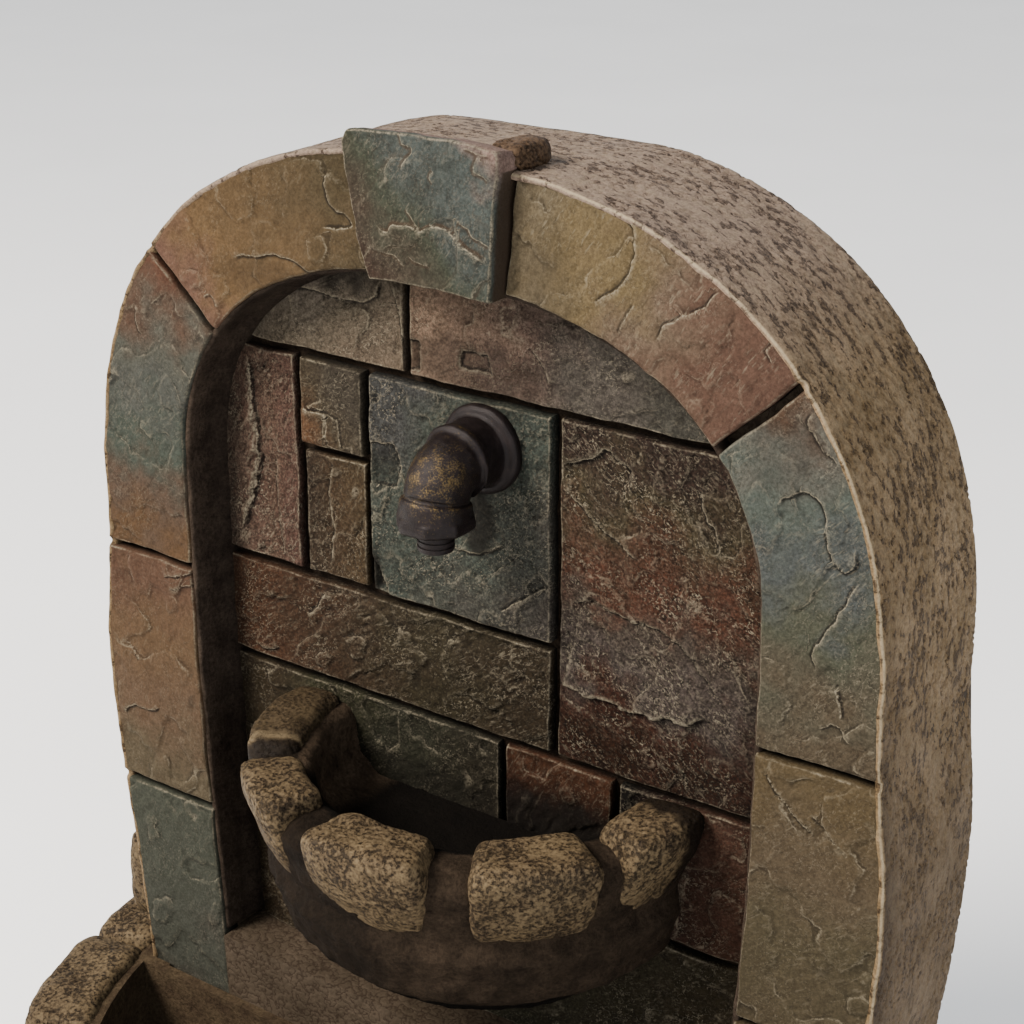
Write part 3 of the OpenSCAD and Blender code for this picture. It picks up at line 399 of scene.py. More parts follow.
def riven_slate(name, stops, dark, dust, streaks, lean, mottling):
    """Slate split along its bedding: matt, cloudy in colour, its small chips rubbed pale on their edges, with
    painted shadow under chips and flake edges.
    """
    made, tree, place = start(name)
    tone, worn, wash, edge_off, lip = (
        attribute(tree, key) for key in ("tone", "worn", "wash", "edge", "lip"))
    cloud = add(tree, "TexNoise", {"Vector": place, "Scale": per_mm(30), "Detail": 5.0, "Roughness": 0.6})
    moved = ("MULTIPLY_ADD", ("SUBTRACT", cloud, 0.5), 0.5, tone)
    base = add(tree, "ValToRGB", {"Fac": moved}, stops)
    blotch = add(tree, "TexNoise", {"Vector": place, "Scale": per_mm(6), "Detail": 6.0, "Roughness": 0.75})
    mottle = add(tree, "ValToRGB", {"Fac": blotch}, [(0.36, "#77726c"), (0.5, "#d0d0d0"), (0.62, "#ffffff")])
    body = add(tree, "Mix", {"Factor": mottling, "A": base, "B": mottle}, blend_type="MULTIPLY")
    # Small chips, 2 to 3 mm apart, that lean with the bedding: rubbed pale above each step, with painted
    # shadow below it
    along_bed = (0, -math.radians(lean), 0)
    turned = add(tree, "Mapping", {"Vector": place, "Rotation": along_bed, "Scale": (1.7, 1, 1)},
                 vector_type="TEXTURE")
    hills = add(tree, "TexNoise", {"Vector": turned, "Scale": per_mm(5), "Detail": 3.0, "Roughness": 0.66,
                                   "Distortion": 0.1})
    steps = add(tree, "Math", {0: hills, 1: 6.0}, operation="MULTIPLY")
    part = add(tree, "Math", {0: steps}, operation="FRACT")
    bright = add(tree, "MapRange", {"Value": part, 1: 0.06, 2: 0.28, 3: 1.0, 4: 0.0})
    below = add(tree, "MapRange", {"Value": part, 1: 0.66, 2: 0.95, 3: 0.0, 4: 1.0})
    grit = add(tree, "TexNoise", {"Vector": place, "Scale": per_mm(1.5), "Detail": 3.0, "Roughness": 0.7})
    grains = add(tree, "ValToRGB", {"Fac": grit}, [(0.34, "#6c6862"), (0.5, "#c9c9c9"), (0.62, "#ffffff")])
    body = add(tree, "Mix", {"Factor": 0.15 + 0.7 * dust, "A": body, "B": grains}, blend_type="MULTIPLY")
    broken = add(tree, "MapRange", {"Value": grit, 1: 0.42, 2: 0.56, 3: 0.0, 4: 1.0})
    patch = add(tree, "TexNoise", {"Vector": turned, "Scale": per_mm(20), "Detail": 4.0, "Roughness": 0.6})
    patchy = add(tree, "MapRange", {"Value": patch, 1: 0.42, 2: 0.6, 3: 0.15 * dust, 4: dust})
    flecks = ("MULTIPLY", ("MULTIPLY", bright, broken), patchy)
    # Slanting pale scratches where the layers feather out
    drawn = add(tree, "Mapping", {"Vector": place, "Rotation": along_bed, "Scale": (4.5, 1, 1)},
                vector_type="TEXTURE")
    lines = add(tree, "TexNoise", {"Vector": drawn, "Scale": per_mm(1.5), "Detail": 2.0, "Roughness": 0.6})
    strokes = add(tree, "MapRange", {"Value": lines, 1: 0.58, 2: 0.68, 3: 0.0, 4: 0.8})
    other = add(tree, "TexNoise", {"Vector": place, "Scale": per_mm(30), "Detail": 3.0})
    spread = add(tree, "MapRange", {"Value": other, 1: 0.46, 2: 0.6, 3: 0.05 * streaks, 4: streaks})
    rubbed = add(tree, "MapRange", {"Value": worn, 1: 0.12, 2: 0.85, 3: 0.0, 4: 0.9})
    uneven = add(tree, "MapRange", {"Value": grit, 1: 0.38, 2: 0.58, 3: 0.15, 4: 1.0})
    # Flake edges: a thin ragged pale line on the raised side, a soft painted shadow under it
    ragged = add(tree, "Math", {0: ("SUBTRACT", blotch, 0.5), 1: 2.2, 2: edge_off}, operation="MULTIPLY_ADD")
    to_lip = ("ABSOLUTE", ("SUBTRACT", ragged, 0.35))
    lip_line = add(tree, "MapRange", {"Value": to_lip, 1: 0.15, 2: 0.5, 3: 1.0, 4: 0.0})
    lip_seen = ("MULTIPLY", ("MULTIPLY", lip_line, lip), uneven)
    to_foot = ("ABSOLUTE", ("ADD", ragged, 0.7))
    edge_shadow = add(tree, "MapRange", {"Value": to_foot, 1: 0.2, 2: 1.2, 3: 0.85, 4: 0.0})
    fine = ("MAXIMUM", flecks, ("MULTIPLY", strokes, spread))
    light = ("MAXIMUM", ("MAXIMUM", fine, ("MULTIPLY", rubbed, uneven)), lip_seen)
    # Dark paint in the hollows, and painted shadow below the chips and under the flake edges
    hollow = add(tree, "MapRange", {"Value": worn, 1: -0.08, 2: -0.7, 3: 0.0, 4: 0.8})
    chip_shadow = ("MULTIPLY", below, ("MULTIPLY", patchy, 0.9))
    deep = ("MAXIMUM", ("MAXIMUM", hollow, chip_shadow), ("MULTIPLY", edge_shadow, lip))
    shaded = add(tree, "Mix", {"Factor": deep, "A": body, "B": linear(dark)})
    dusted = add(tree, "Mix", {"Factor": light, "A": shaded, "B": linear("#676051")})
    # Painted shade that the mesh carries
    colour = add(tree, "Mix", {"Factor": wash, "A": dusted, "B": linear(dark)})
    rough = add(tree, "MapRange", {"Value": blotch, 1: 0.3, 2: 0.7, 3: 0.92, 4: 0.78})
    terrace = ("MULTIPLY_ADD", part, 0.25, ("FLOOR", steps))
    relief = ("MULTIPLY_ADD", terrace, 0.3 + 0.7 * dust, grit)
    shade(tree, relief, 0.35, base_color=colour, roughness=rough, ior=1.55, specular_ior_level=0.07)
    return made


def cast_stone(name, low, high, pit="#150c07", top="#6b5d52", cream="#8a7b62", worm=0.5, ridges=0.16,
               drawn_out=False):
    """Stone-filled resin cast in a mould: tan and pitted, with a cream rubbed rim.

    Its pits lie in clusters, ridged between them, and are drawn out along the arch on the outer wall.
    """
    made, tree, place = start(name)
    pits, worn, wash, crown = (attribute(tree, key) for key in ("pit", "worn", "wash", "crown"))
    cloud = add(tree, "TexNoise", {"Vector": place, "Scale": per_mm(28), "Detail": 6.0, "Roughness": 0.65})
    base = add(tree, "ValToRGB", {"Fac": cloud}, [(0.32, low), (0.68, high)])
    # Painted light from above: faces turned up are mixed towards the lighter top colour
    lit_top = add(tree, "Mix", {"Factor": crown, "A": base, "B": linear(top)})
    grit = add(tree, "TexNoise", {"Vector": place, "Scale": per_mm(1.6), "Detail": 4.0, "Roughness": 0.75})
    sand = add(tree, "ValToRGB", {"Fac": grit}, [(0.32, "#8b857e"), (0.6, "#ffffff")])
    body = add(tree, "Mix", {"Factor": 0.8, "A": lit_top, "B": sand}, blend_type="MULTIPLY")
    # Millimetres between clusters and across a pit, and how high noise must be between and in the clusters
    cluster, pit_w, least, most = 15, 2.2, 0.61, 0.495
    if drawn_out:
        place = add(tree, "CombineXYZ", {"X": attribute(tree, "run"), "Y": attribute(tree, "deep"), "Z": 0.0})
        cluster, pit_w, least, most = 24, 4.2, 0.63, 0.48
    patch = add(tree, "TexNoise", {"Vector": place, "Scale": per_mm(cluster), "Detail": 4.0,
                                   "Roughness": 0.65})
    needed = add(tree, "MapRange", {"Value": patch, 1: 0.38, 2: 0.6, 3: least, 4: most})
    dots = add(tree, "TexNoise", {"Vector": place, "Scale": per_mm(pit_w), "Detail": 3.0, "Roughness": 0.6})
    over = add(tree, "Math", {0: dots, 1: needed}, operation="SUBTRACT")
    spots = add(tree, "MapRange", {"Value": over, 1: 0.0, 2: 0.04, 3: 0.0, 4: worm})
    ridge = add(tree, "MapRange", {"Value": over, 1: -0.2, 2: -0.05, 3: ridges, 4: 0.0})
    shown = add(tree, "MapRange", {"Value": worn, 1: 0.1, 2: 0.8, 3: 0.0, 4: 0.85})
    broken = add(tree, "MapRange", {"Value": grit, 1: 0.36, 2: 0.52, 3: 0.65, 4: 1.0})
    rubbed = add(tree, "Math", {0: shown, 1: broken}, operation="MULTIPLY")
    paled = add(tree, "Mix", {"Factor": ("MAXIMUM", rubbed, ridge), "A": body, "B": linear(cream)})
    fine = add(tree, "MapRange", {"Value": grit, 1: 0.38, 2: 0.58, 3: 1.0, 4: 0.6})
    left = ("MULTIPLY", ("SUBTRACT", 1.0, rubbed), fine)
    darker_by = ("MULTIPLY", ("MAXIMUM", pits, spots), left)
    # Pits, and painted shade that the mesh carries, darken it
    colour = add(tree, "Mix", {"Factor": ("MAXIMUM", darker_by, wash), "A": paled, "B": linear(pit)})
    rough = add(tree, "MapRange", {"Value": cloud, 1: 0.3, 2: 0.7, 3: 0.72, 4: 0.58})
    relief = ("MULTIPLY_ADD", spots, -1.6, grit)
    shade(tree, relief, 0.4, base_color=colour, roughness=rough, ior=1.5, specular_ior_level=0.09)
    return made


def cad_cast_stone():
    """The same cast stone for CAD solids, which carry no painted values: pits come from noise."""
    made, tree, place = start("cast stone, plain walls")
    cloud = add(tree, "TexNoise", {"Vector": place, "Scale": per_mm(28), "Detail": 6.0, "Roughness": 0.65})
    base = add(tree, "ValToRGB", {"Fac": cloud}, [(0.32, "#2c251c"), (0.68, "#3d342a")])
    worm = add(tree, "TexNoise", {"Vector": place, "Scale": per_mm(5), "Detail": 2.0})
    line = add(tree, "Math", {0: ("SUBTRACT", worm, 0.5)}, operation="ABSOLUTE")
    pits = add(tree, "MapRange", {"Value": line, 1: 0.0, 2: 0.05, 3: 0.7, 4: 0.0})
    colour = add(tree, "Mix", {"Factor": pits, "A": base, "B": linear("#150b06")})
    shade(tree, line, 1.5, base_color=colour, roughness=0.72, ior=1.5, specular_ior_level=0.09)
    return made


def mortar(name, low, high):
    """Trowelled mortar, stained dark: rough and sandy, almost no sheen."""
    made, tree, place = start(name)
    cloud = add(tree, "TexNoise", {"Vector": place, "Scale": per_mm(16), "Detail": 7.0, "Roughness": 0.7})
    base = add(tree, "ValToRGB", {"Fac": cloud}, [(0.35, low), (0.65, high)])
    sand = add(tree, "TexNoise", {"Vector": place, "Scale": per_mm(2.2), "Detail": 5.0, "Roughness": 0.8})
    grains = add(tree, "ValToRGB", {"Fac": sand}, [(0.35, "#8a8782"), (0.6, "#ffffff")])
    colour = add(tree, "Mix", {"Factor": 0.8, "A": base, "B": grains}, blend_type="MULTIPLY")
    relief = ("MULTIPLY_ADD", cloud, 3.0, sand)
    # Painted shade that the mesh carries
    with_shade = add(tree, "Mix", {"Factor": attribute(tree, "wash"), "A": colour, "B": linear("#060504")})
    shade(tree, relief, 0.9, base_color=with_shade, roughness=0.86, ior=1.5, specular_ior_level=0.04)
    return made


def aged_bronze():
    """Cast bronze, patinated purple-brown and rubbed with gold: satin, with speckled bright places."""
    made, tree, place = start("cast bronze, patinated")
    cloud = add(tree, "TexNoise", {"Vector": place, "Scale": per_mm(9), "Detail": 6.0, "Roughness": 0.7})
    base = add(tree, "ValToRGB", {"Fac": cloud}, [(0.3, "#0e0a0a"), (0.55, "#171212"), (0.75, "#221b1a")])
    grit = add(tree, "TexNoise", {"Vector": place, "Scale": per_mm(0.9), "Detail": 4.0, "Roughness": 0.8})
    # Gold grows with the mesh's worn value, which on the spout holds a painted highlight on the front of the
    # bend
    over = ("SUBTRACT", grit, ("MULTIPLY_ADD", attribute(tree, "worn"), -0.26, 0.69))
    gold = add(tree, "MapRange", {"Value": over, 1: -0.08, 2: 0.12, 3: 0.0, 4: 0.75})
    colour = add(tree, "Mix", {"Factor": gold, "A": base, "B": linear("#6a5836")})
    metal = add(tree, "MapRange", {"Value": gold, 1: 0.0, 2: 1.0, 3: 0.3, 4: 0.9})
    rough = add(tree, "MapRange", {"Value": cloud, 1: 0.3, 2: 0.7, 3: 0.36, 4: 0.5})
    shade(tree, grit, 0.25, base_color=colour, roughness=rough, metallic=metal, specular_ior_level=0.15)
    return made


def moulded_plastic(name, colour, rough):
    """Injection-moulded polypropylene with a spark-eroded grain: dull, faintly mottled, slightly dusty."""
    made, tree, place = start(name)
    grit = add(tree, "TexNoise", {"Vector": place, "Scale": per_mm(0.9), "Detail": 3.0})
    cloud = add(tree, "TexNoise", {"Vector": place, "Scale": per_mm(60), "Detail": 8.0, "Roughness": 0.7})
    dust = add(tree, "MapRange", {"Value": cloud, 1: 0.4, 2: 0.8, 3: 0.0, 4: 0.16})
    base = add(tree, "Mix", {"Factor": dust, "A": linear(colour), "B": linear("#6c675f")})
    sheen = add(tree, "MapRange", {"Value": cloud, 1: 0.3, 2: 0.7, 3: rough, 4: rough + 0.12})
    shade(tree, grit, 0.12, base_color=base, roughness=sheen, ior=1.49)
    return made


def turned_steel():
    """Stainless steel, turned and passivated: bright, with fine rings left by the tool."""
    made, tree, place = start("stainless steel, turned")
    rings = add(tree, "TexNoise", {"Vector": place, "Scale": per_mm(0.7), "Detail": 2.0})
    cloud = add(tree, "TexNoise", {"Vector": place, "Scale": per_mm(12), "Detail": 4.0})
    colour = add(tree, "ValToRGB", {"Fac": cloud}, [(0.35, "#8f8c86"), (0.65, "#b9b7b2")])
    rough = add(tree, "MapRange", {"Value": rings, 1: 0.3, 2: 0.7, 3: 0.26, 4: 0.4})
    shade(tree, rings, 0.05, base_color=colour, roughness=rough, metallic=1.0)
    return made


def soft_rubber():
    """Moulded nitrile rubber: near black and matt, with a soft bloom."""
    made, tree, place = start("nitrile rubber, moulded")
    bloom = add(tree, "TexNoise", {"Vector": place, "Scale": per_mm(14), "Detail": 5.0})
    colour = add(tree, "ValToRGB", {"Fac": bloom}, [(0.4, "#151515"), (0.7, "#2c2b29")])
    shade(tree, bloom, 0.2, base_color=colour, roughness=0.78, ior=1.52)
    return made


def clear_tube():
    """Extruded clear PVC: see-through and slightly milky."""
    made, tree, place = start("clear PVC, extruded")
    haze = add(tree, "TexNoise", {"Vector": place, "Scale": per_mm(20), "Detail": 3.0})
    rough = add(tree, "MapRange", {"Value": haze, 1: 0.3, 2: 0.7, 3: 0.12, 4: 0.3})
    colour = add(tree, "ValToRGB", {"Fac": haze}, [(0.3, "#c9d6d4"), (0.7, "#e2e8e6")])
    shade(tree, haze, 0.1, base_color=colour, roughness=rough, ior=1.53, transmission_weight=0.85)
    return made


def ring_patch(low, high, step):
    """Grid of a ring stone on the right, between two joint lines, each a point, a slope and a shift."""
    sides = []
    for line in (niche_line(0.4), arch_line(0.2)):
        a = crossing(line, *low)
        b = crossing(line, *high)
        sides.append((line, a, b))
    mean = sum(b - a for _, a, b in sides) / 2
    up = spaced(mean, step) / mean
    inner, outer = (along(line, a + (b - a) * up) for line, a, b in sides)
    width = np.linalg.norm(outer - inner, axis=1).mean()
    over = spaced(width, step) / width
    grid = inner[:, None] * (1 - over[None, :, None]) + outer[:, None] * over[None, :, None]
    return grid[..., 0], grid[..., 1]


def slab_patch(x0, x1, z0, z1, step):
    """Grid of a niche stone between two columns and two levels, cut to the niche's outline."""
    gap = slab_joint / 2
    low = z0 + gap
    high = min(z1 - gap, niche_top - gap)
    z = low + spaced(high - low, step)
    level = z + gap * np.clip((z - niche_spring) / niche_rise, 0, 1)
    limit = niche_side(np.clip(level, 0, niche_top - 0.01)) - gap
    left = np.maximum(x0 + gap, -limit)
    right = np.minimum(x1 - gap, limit)
    width = (right - left).max()
    over = spaced(width, step) / width
    X = left[:, None] * (1 - over) + right[:, None] * over
    return X, np.repeat(z[:, None], len(over), 1)


def solid_stone(X, Z, height, front, back, crown_z=1e9):
    """Points and faces of a stone: its face, its sides back to a depth, and its back.

    What lies above crown_z is a cap that falls back over the arch to the keystone's depth.
    """
    rows, cols = X.shape
    face = np.stack([X, front - height, Z], -1).reshape(-1, 3)
    index = np.arange(rows * cols).reshape(rows, cols)
    rim = np.r_[index[0, :-1], index[:-1, -1], index[-1, :0:-1], index[:0:-1, 0]]
    points = [face]
    faces = list(grid_faces(rows, cols))
    before = rim
    count = rows * cols
    cap = face[rim, 2] > crown_z
    reach = np.where(cap, key_back, back)
    for share in (0.12, 0.35, 0.65, 1):
        ring = face[rim].copy()
        ring[:, 1] = ring[:, 1] * (1 - share) + reach * share
        dents = 2.8 * (1 + noise(ring, 7, 125)) * share * (1 - share)
        falls = (crown_z - ring[:, 2]) * share ** 1.6 - dents
        ring[:, 2] = np.where(cap, ring[:, 2] + falls, ring[:, 2])
        points.append(ring)
        now = np.arange(len(rim)) + count
        count += len(rim)
        faces += [(before[i], before[i - 1], now[i - 1], now[i]) for i in range(len(rim))]
        before = now
    faces.append(tuple(before[::-1]))
    return np.concatenate(points), faces, rim


class Stone:
    """What sets one slate stone apart, in row mm.

    Its colours run from one place to another, the tone. lean is its grain's slant in degrees. A ledge is a
    line of points, a rise and a run, and a flake is an outline and a rise. A dark oval is painted shade: its
    middle, its half sizes and how dark it is.
    """

    def __init__(self, seed, colours, tone, lean=35, ledges=(), flakes=(), dust=0.55, streaks=0.2,
                 dark="#080604", mottling=0.5, shade_ovals=()):
        self.seed = seed
        self.colours = colours
        self.tone = tone
        self.lean = lean
        self.ledges = ledges
        self.flakes = flakes
        self.dust = dust
        self.streaks = streaks
        self.dark = dark
        self.mottling = mottling
        self.shade_ovals = shade_ovals

    def relief(self, x, z, coarse):
        """Height of the riven face, distance to its nearest flake edge and that edge's strength."""
        p = np.stack([x, z], -1)
        h = 0.8 * clouds(p, 60, self.seed, 2)
        layer = 1.5 * clouds(p + 2 * noise(p, 6, self.seed + 3)[..., None], 48, self.seed + 1, 3, 0.4)
        part = layer - np.floor(layer)
        steps = np.floor(layer) + smooth((part - 0.9) / 0.1) - 0.3 * part
        h = h + 0.7 * coarse ** 0.5 * steps
        edge_off = np.full(x.shape, 9.0)
        strength = np.zeros(x.shape)
        broken = [ledge(x, z, line, rise, run, self.seed + 5) for line, rise, run in self.ledges]
        broken += [flake(x, z, outline, rise, self.seed + 9) for outline, rise in self.flakes]
        to_step = (part + 0.55) % 1 - 0.5
        seen = (np.abs(to_step) < 0.12) * smooth(0.4 + noise(p, 13, self.seed + 4))
        broken.append((0, to_step * 16, 0.55 * seen))
        for up, off, much in broken:
            h = h + up
            closer = (np.abs(off) < np.abs(edge_off)) & (much > 0.02)
            edge_off = np.where(closer, off, edge_off)
            strength = np.where(closer, much, strength)
        patch = smooth(0.5 + clouds(p, 30, self.seed + 15, 2))
        h = h + coarse * (0.12 + 0.45 * self.streaks * patch) * grain(x, z, self.lean, 4, 5, self.seed + 11)
        return h + coarse * 0.16 * clouds(p, 8, self.seed + 13, 3, 0.6), edge_off, strength

    def tones(self, x, z):
        """Where each point lies in the stone's colours, 0 to 1."""
        (x0, z0), (x1, z1) = self.tone
        run = (x1 - x0) ** 2 + (z1 - z0) ** 2
        t = ((x - x0) * (x1 - x0) + (z - z0) * (z1 - z0)) / run
        return t + 0.10 * clouds(np.stack([x, z], -1), 34, self.seed + 21, 3)

    def stained(self, x, z):
        """How dark each point is painted for the shade in the stone's dark ovals, 0 to 1."""
        total = 0 * x
        ragged = 0.25 * noise(np.stack([x, z], -1), 9, self.seed + 23)
        for middle_x, middle_z, half_x, half_z, much in self.shade_ovals:
            off = np.hypot((x - middle_x) / half_x, (z - middle_z) / half_z) + ragged
            total = np.maximum(total, much * smooth((1.1 - off) / 0.6))
        return total

    def finish(self, name):
        """The stone's own slate, with its colours in a row."""
        count = len(self.colours)
        stops = [(0.06 + 0.88 * i / (count - 1), c) for i, c in enumerate(self.colours)]
        return riven_slate(f"riven slate, {name}", stops, self.dark, self.dust, self.streaks, self.lean,
                           self.mottling)


def lay(name, X, Z, front, back, stone, round_edge=2.0, wash=0, coarse=1.0, crown_z=1e9, rub=0.55,
        side_shade=(0.25, 0.6, 0.9, 0.95)):
    """Makes a slate stone from its grid, with worn edges, joints that wander and its painted values."""
    dx, dz = wander(X, Z)
    X = X + dx
    Z = Z + dz
    p = np.stack([X, Z], -1)
    sides = edge_distances(X, Z)
    near = np.minimum.reduce(sides)
    h, edge_off, strength = stone.relief(X, Z, coarse)
    h = h * (0.25 + 0.75 * smooth(near / 4))
    chipped = 0.9 * smooth(noise(p, 8, stone.seed + 32) - 0.1)
    radius = round_edge * (1 + 0.45 * noise(p, 12, stone.seed + 31)) + chipped
    hollow = h - blurred(h, 4)
    for side in sides:
        h = h - arris(side, np.clip(radius, 0.8, 6))
    if callable(wash):
        h, wash = wash(X, Z, h)
    points, faces, rim = solid_stone(X, Z, h, front, back, crown_z)
    rim_rub = sum(np.exp(-((side - 0.7) / 0.5) ** 2) for side in sides)
    rim_rub = rim_rub * (rub + 0.7 * noise(p, 11, stone.seed + 33))
    worn = np.clip(hollow * 0.7 + 0.85 * np.clip(rim_rub, 0, 1), -1, 1)
    tone = stone.tones(X, Z).ravel()
    # Painted shade: the cove's, and that of the stone's dark ovals
    wash = np.maximum(wash, stone.stained(X, Z)).ravel()
    cap = Z.ravel()[rim] > crown_z
    # Painted shade on the stone's sides, darker further back
    side_shade = [np.where(cap, 0.0, share) for share in side_shade]
    side_tone = [np.where(cap, share, tone[rim]) for share in (1.0, 1.4, 1.4, 1.4)]
    pad = [0.0] * (4 * len(rim))
    values = {
        "tone": np.concatenate([tone] + side_tone),
        "worn": np.r_[worn.ravel(), pad],
        "wash": np.concatenate([wash] + side_shade),
        "edge": np.r_[np.clip(edge_off, -9, 9).ravel(), [9.0] * (4 * len(rim))],
        "lip": np.r_[strength.ravel(), pad],
    }
    return make(name, points, faces, stone.finish(name), values, [name])


grid_step = 1.25

# The eight facing stones, each between two of the joints in cuts
# Their dark ovals are painted shade
ring = {
    "ring_left_1": Stone(101, ["#362e1f", "#413422", "#4d3c27", "#4d372e"], ((-50, 690), (-185, 590)), 55, [
        ([(-68, 691), (-71, 678), (-66, 670), (-56, 669), (-52, 662), (-74, 660)], 1.2, 10),
        ([(-135, 634), (-129, 637), (-116, 638), (-102, 642), (-88, 639), (-80, 634)], 1.3, 12),
        ([(-156, 610), (-149, 613), (-146, 606)], 1.0, 8)],
        shade_ovals=[(-105, 626, 55, 13, 0.25)], dust=0.2, streaks=0.15),
    "ring_left_2": Stone(102, ["#432c20", "#3e3127", "#393932", "#373833", "#31362f", "#3d3127", "#423120"],
                         ((-225, 640), (-225, 450)), 52, [
        ([(-206, 598), (-207, 584), (-203, 581)], 1.0, 8)], dust=0.25, streaks=0.3),
    "ring_left_3": Stone(103, ["#412f23", "#463625", "#453628", "#3f3729"], ((-210, 448), (-215, 299)), 70, [
        ([(-200, 439), (-188, 442), (-178, 446)], 1.2, 8), ([(-196, 431), (-182, 437), (-177, 439)], 1.0, 6),
        ([(-240, 339), (-234, 348), (-215, 348), (-210, 353)], 1.4, 9),
        ([(-238, 389), (-227, 384), (-224, 378)], 1.1, 7)], dust=0.22, streaks=0.15),
    "ring_left_4": Stone(104, ["#30322a", "#33342d", "#342f28", "#302e29"], ((-220, 295), (-200, 8)), 60,
                         dust=0.25, streaks=0.2),
    "ring_right_1": Stone(105, ["#4b4232", "#51452f", "#504336", "#443228", "#412f26"],
                          ((50, 690), (190, 610)), 55, [
        ([(100, 693), (108, 684), (107, 671), (102, 660), (91, 652), (85, 650)], 2.6, 20),
        ([(151, 666), (143, 657), (129, 649), (123, 645), (119, 637)], 1.4, 12),
        ([(109, 653), (104, 646), (100, 637)], 1.0, 8),
        ([(187, 653), (173, 645), (177, 637)], 1.0, 8)],
        shade_ovals=[(62, 655, 15, 32, 0.2)], dust=0.25, streaks=0.5),
    "ring_right_2": Stone(106, ["#3d2e23", "#44423b", "#3b403a", "#373a38", "#37382d", "#3a362b", "#3a3226"],
                          ((200, 645), (225, 452)), 48, [
        ([(198, 621), (196, 614), (201, 606), (212, 599)], 1.4, 9),
        ([(182, 573), (190, 581), (201, 584), (207, 576), (209, 559), (216, 548), (223, 553), (222, 564)],
         1.6, 9),
        ([(225, 548), (212, 520), (204, 509), (207, 498)], 1.5, 9),
        ([(216, 495), (221, 478)], -1.4, 3), ([(209, 470), (218, 476), (226, 467)], 1.0, 7)],
        shade_ovals=[(186, 598, 20, 24, 0.22)], dust=0.4, streaks=0.35),
    "ring_right_3": Stone(107, ["#3e3423", "#3c3326", "#363022", "#352e21"], ((210, 448), (215, 299)), 40, [
        ([(184, 442), (196, 426), (207, 417), (212, 414)], 1.5, 10),
        ([(209, 426), (218, 420), (229, 409)], 1.1, 7)], dust=0.25, streaks=0.25),
    "ring_right_4": Stone(108, ["#393021", "#343023", "#2e2c23", "#312c20"], ((220, 295), (200, 8)), 60,
                          dust=0.25, streaks=0.25),
}
key_slope = math.atan2(key_top - niche_top, key_top_half - key_low_half)
# The joints from the foot up to the keystone: a point on each, its slope, and how far stones keep off it
cuts = [
    ((0, leg_foot), 0, 0),
    ((0, joint_3_z), 0, joint_w / 2),
    ((0, joint_2_z), 0, joint_w / 2),
    (joint_1, joint_1_slope, joint_w / 2),
    ((key_low_half, niche_top), key_slope, -1.2),
]
for name, stone in ring.items():
    stone.mottling = 0.28
    n = 4 - int(name[-1])
    low = cuts[n]
    high = (cuts[n + 1][0], cuts[n + 1][1], -abs(cuts[n + 1][2]))
    # The two feet are the largest and lie low, where a coarser grid does
    X, Z = ring_patch(low, high, grid_step if n > 0 else grid_step * 1.4)
    if "left" in name:
        X, Z = -X[:, ::-1], Z[:, ::-1]
    lay(name, X, Z, ring_y, stone_back, stone, coarse=1.5)

# The keystone: a proud wedge whose cap reaches back over the crown
keystone = Stone(120, ["#2c211a", "#312c23", "#2e3127", "#323632", "#373c39", "#67554d"],
                 ((-46, 650), (24, 727)), 55, [
    ([(-16, 717), (-14, 713), (-13, 710), (-6, 709), (-11, 704), (-14, 698)], 1.1, 8),
    ([(6, 701), (3, 698), (5, 694)], 0.9, 6),
    ([(22, 713), (27, 713), (32, 711), (37, 712)], 1.0, 7),
    ([(32, 711), (29, 709), (27, 703), (33, 702), (37, 699)], 1.0, 6),
    ([(36, 661), (30, 665), (24, 667), (17, 671), (14, 673), (10, 675), (7, 675), (0, 673), (-4, 671),
      (-8, 673), (-16, 673), (-20, 672), (-23, 667), (-30, 671)], 1.9, 14),
    ([(-12, 681), (-8, 676), (-4, 671)], 0.9, 5),
    ([(37, 669), (30, 671), (25, 674), (24, 676), (20, 678), (15, 681)], -1.3, 5),
    ([(-36, 660), (-28, 657), (-21, 657), (-16, 655), (-13, 652)], 1.0, 6),
    ([(-11, 658), (-6, 655), (2, 655)], 0.8, 5)],
    dust=0.3, streaks=0.3, dark="#2b2118")
key_z_low = niche_top - 1.5
u = spaced(key_top - key_z_low, grid_step) / (key_top - key_z_low)
v = spaced(2 * key_low_half, grid_step) / (2 * key_low_half)
key_z = key_z_low + (key_top - key_z_low) * u
# Its two sides, as places across at heights
left = np.interp(key_z, [645, 665, 685, 700, 712, 717], [-36, -42, -46, -49, -50, -47])
right = np.interp(key_z, [645, 670, 690, 714, 717], [35.5, 37, 39, 41.5, 40])
X = left[:, None] * (1 - v) + right[:, None] * v
bottom = niche_spring + niche_rise * (1 - np.abs(X / niche_half) ** niche_power) ** (1 / niche_power) - 1.2
top = key_top - 1.0 - 2.5 * np.abs(X / key_top_half) ** 3
Z = bottom * (1 - u[:, None]) + top * u[:, None]
lay("keystone", X, Z, key_y + 0.5, ring_y + 12, keystone, 1.8, coarse=1.4,
    crown_z=arch_top + 1.5, rub=1.0, side_shade=(0.8, 0.88, 0.92, 0.95))
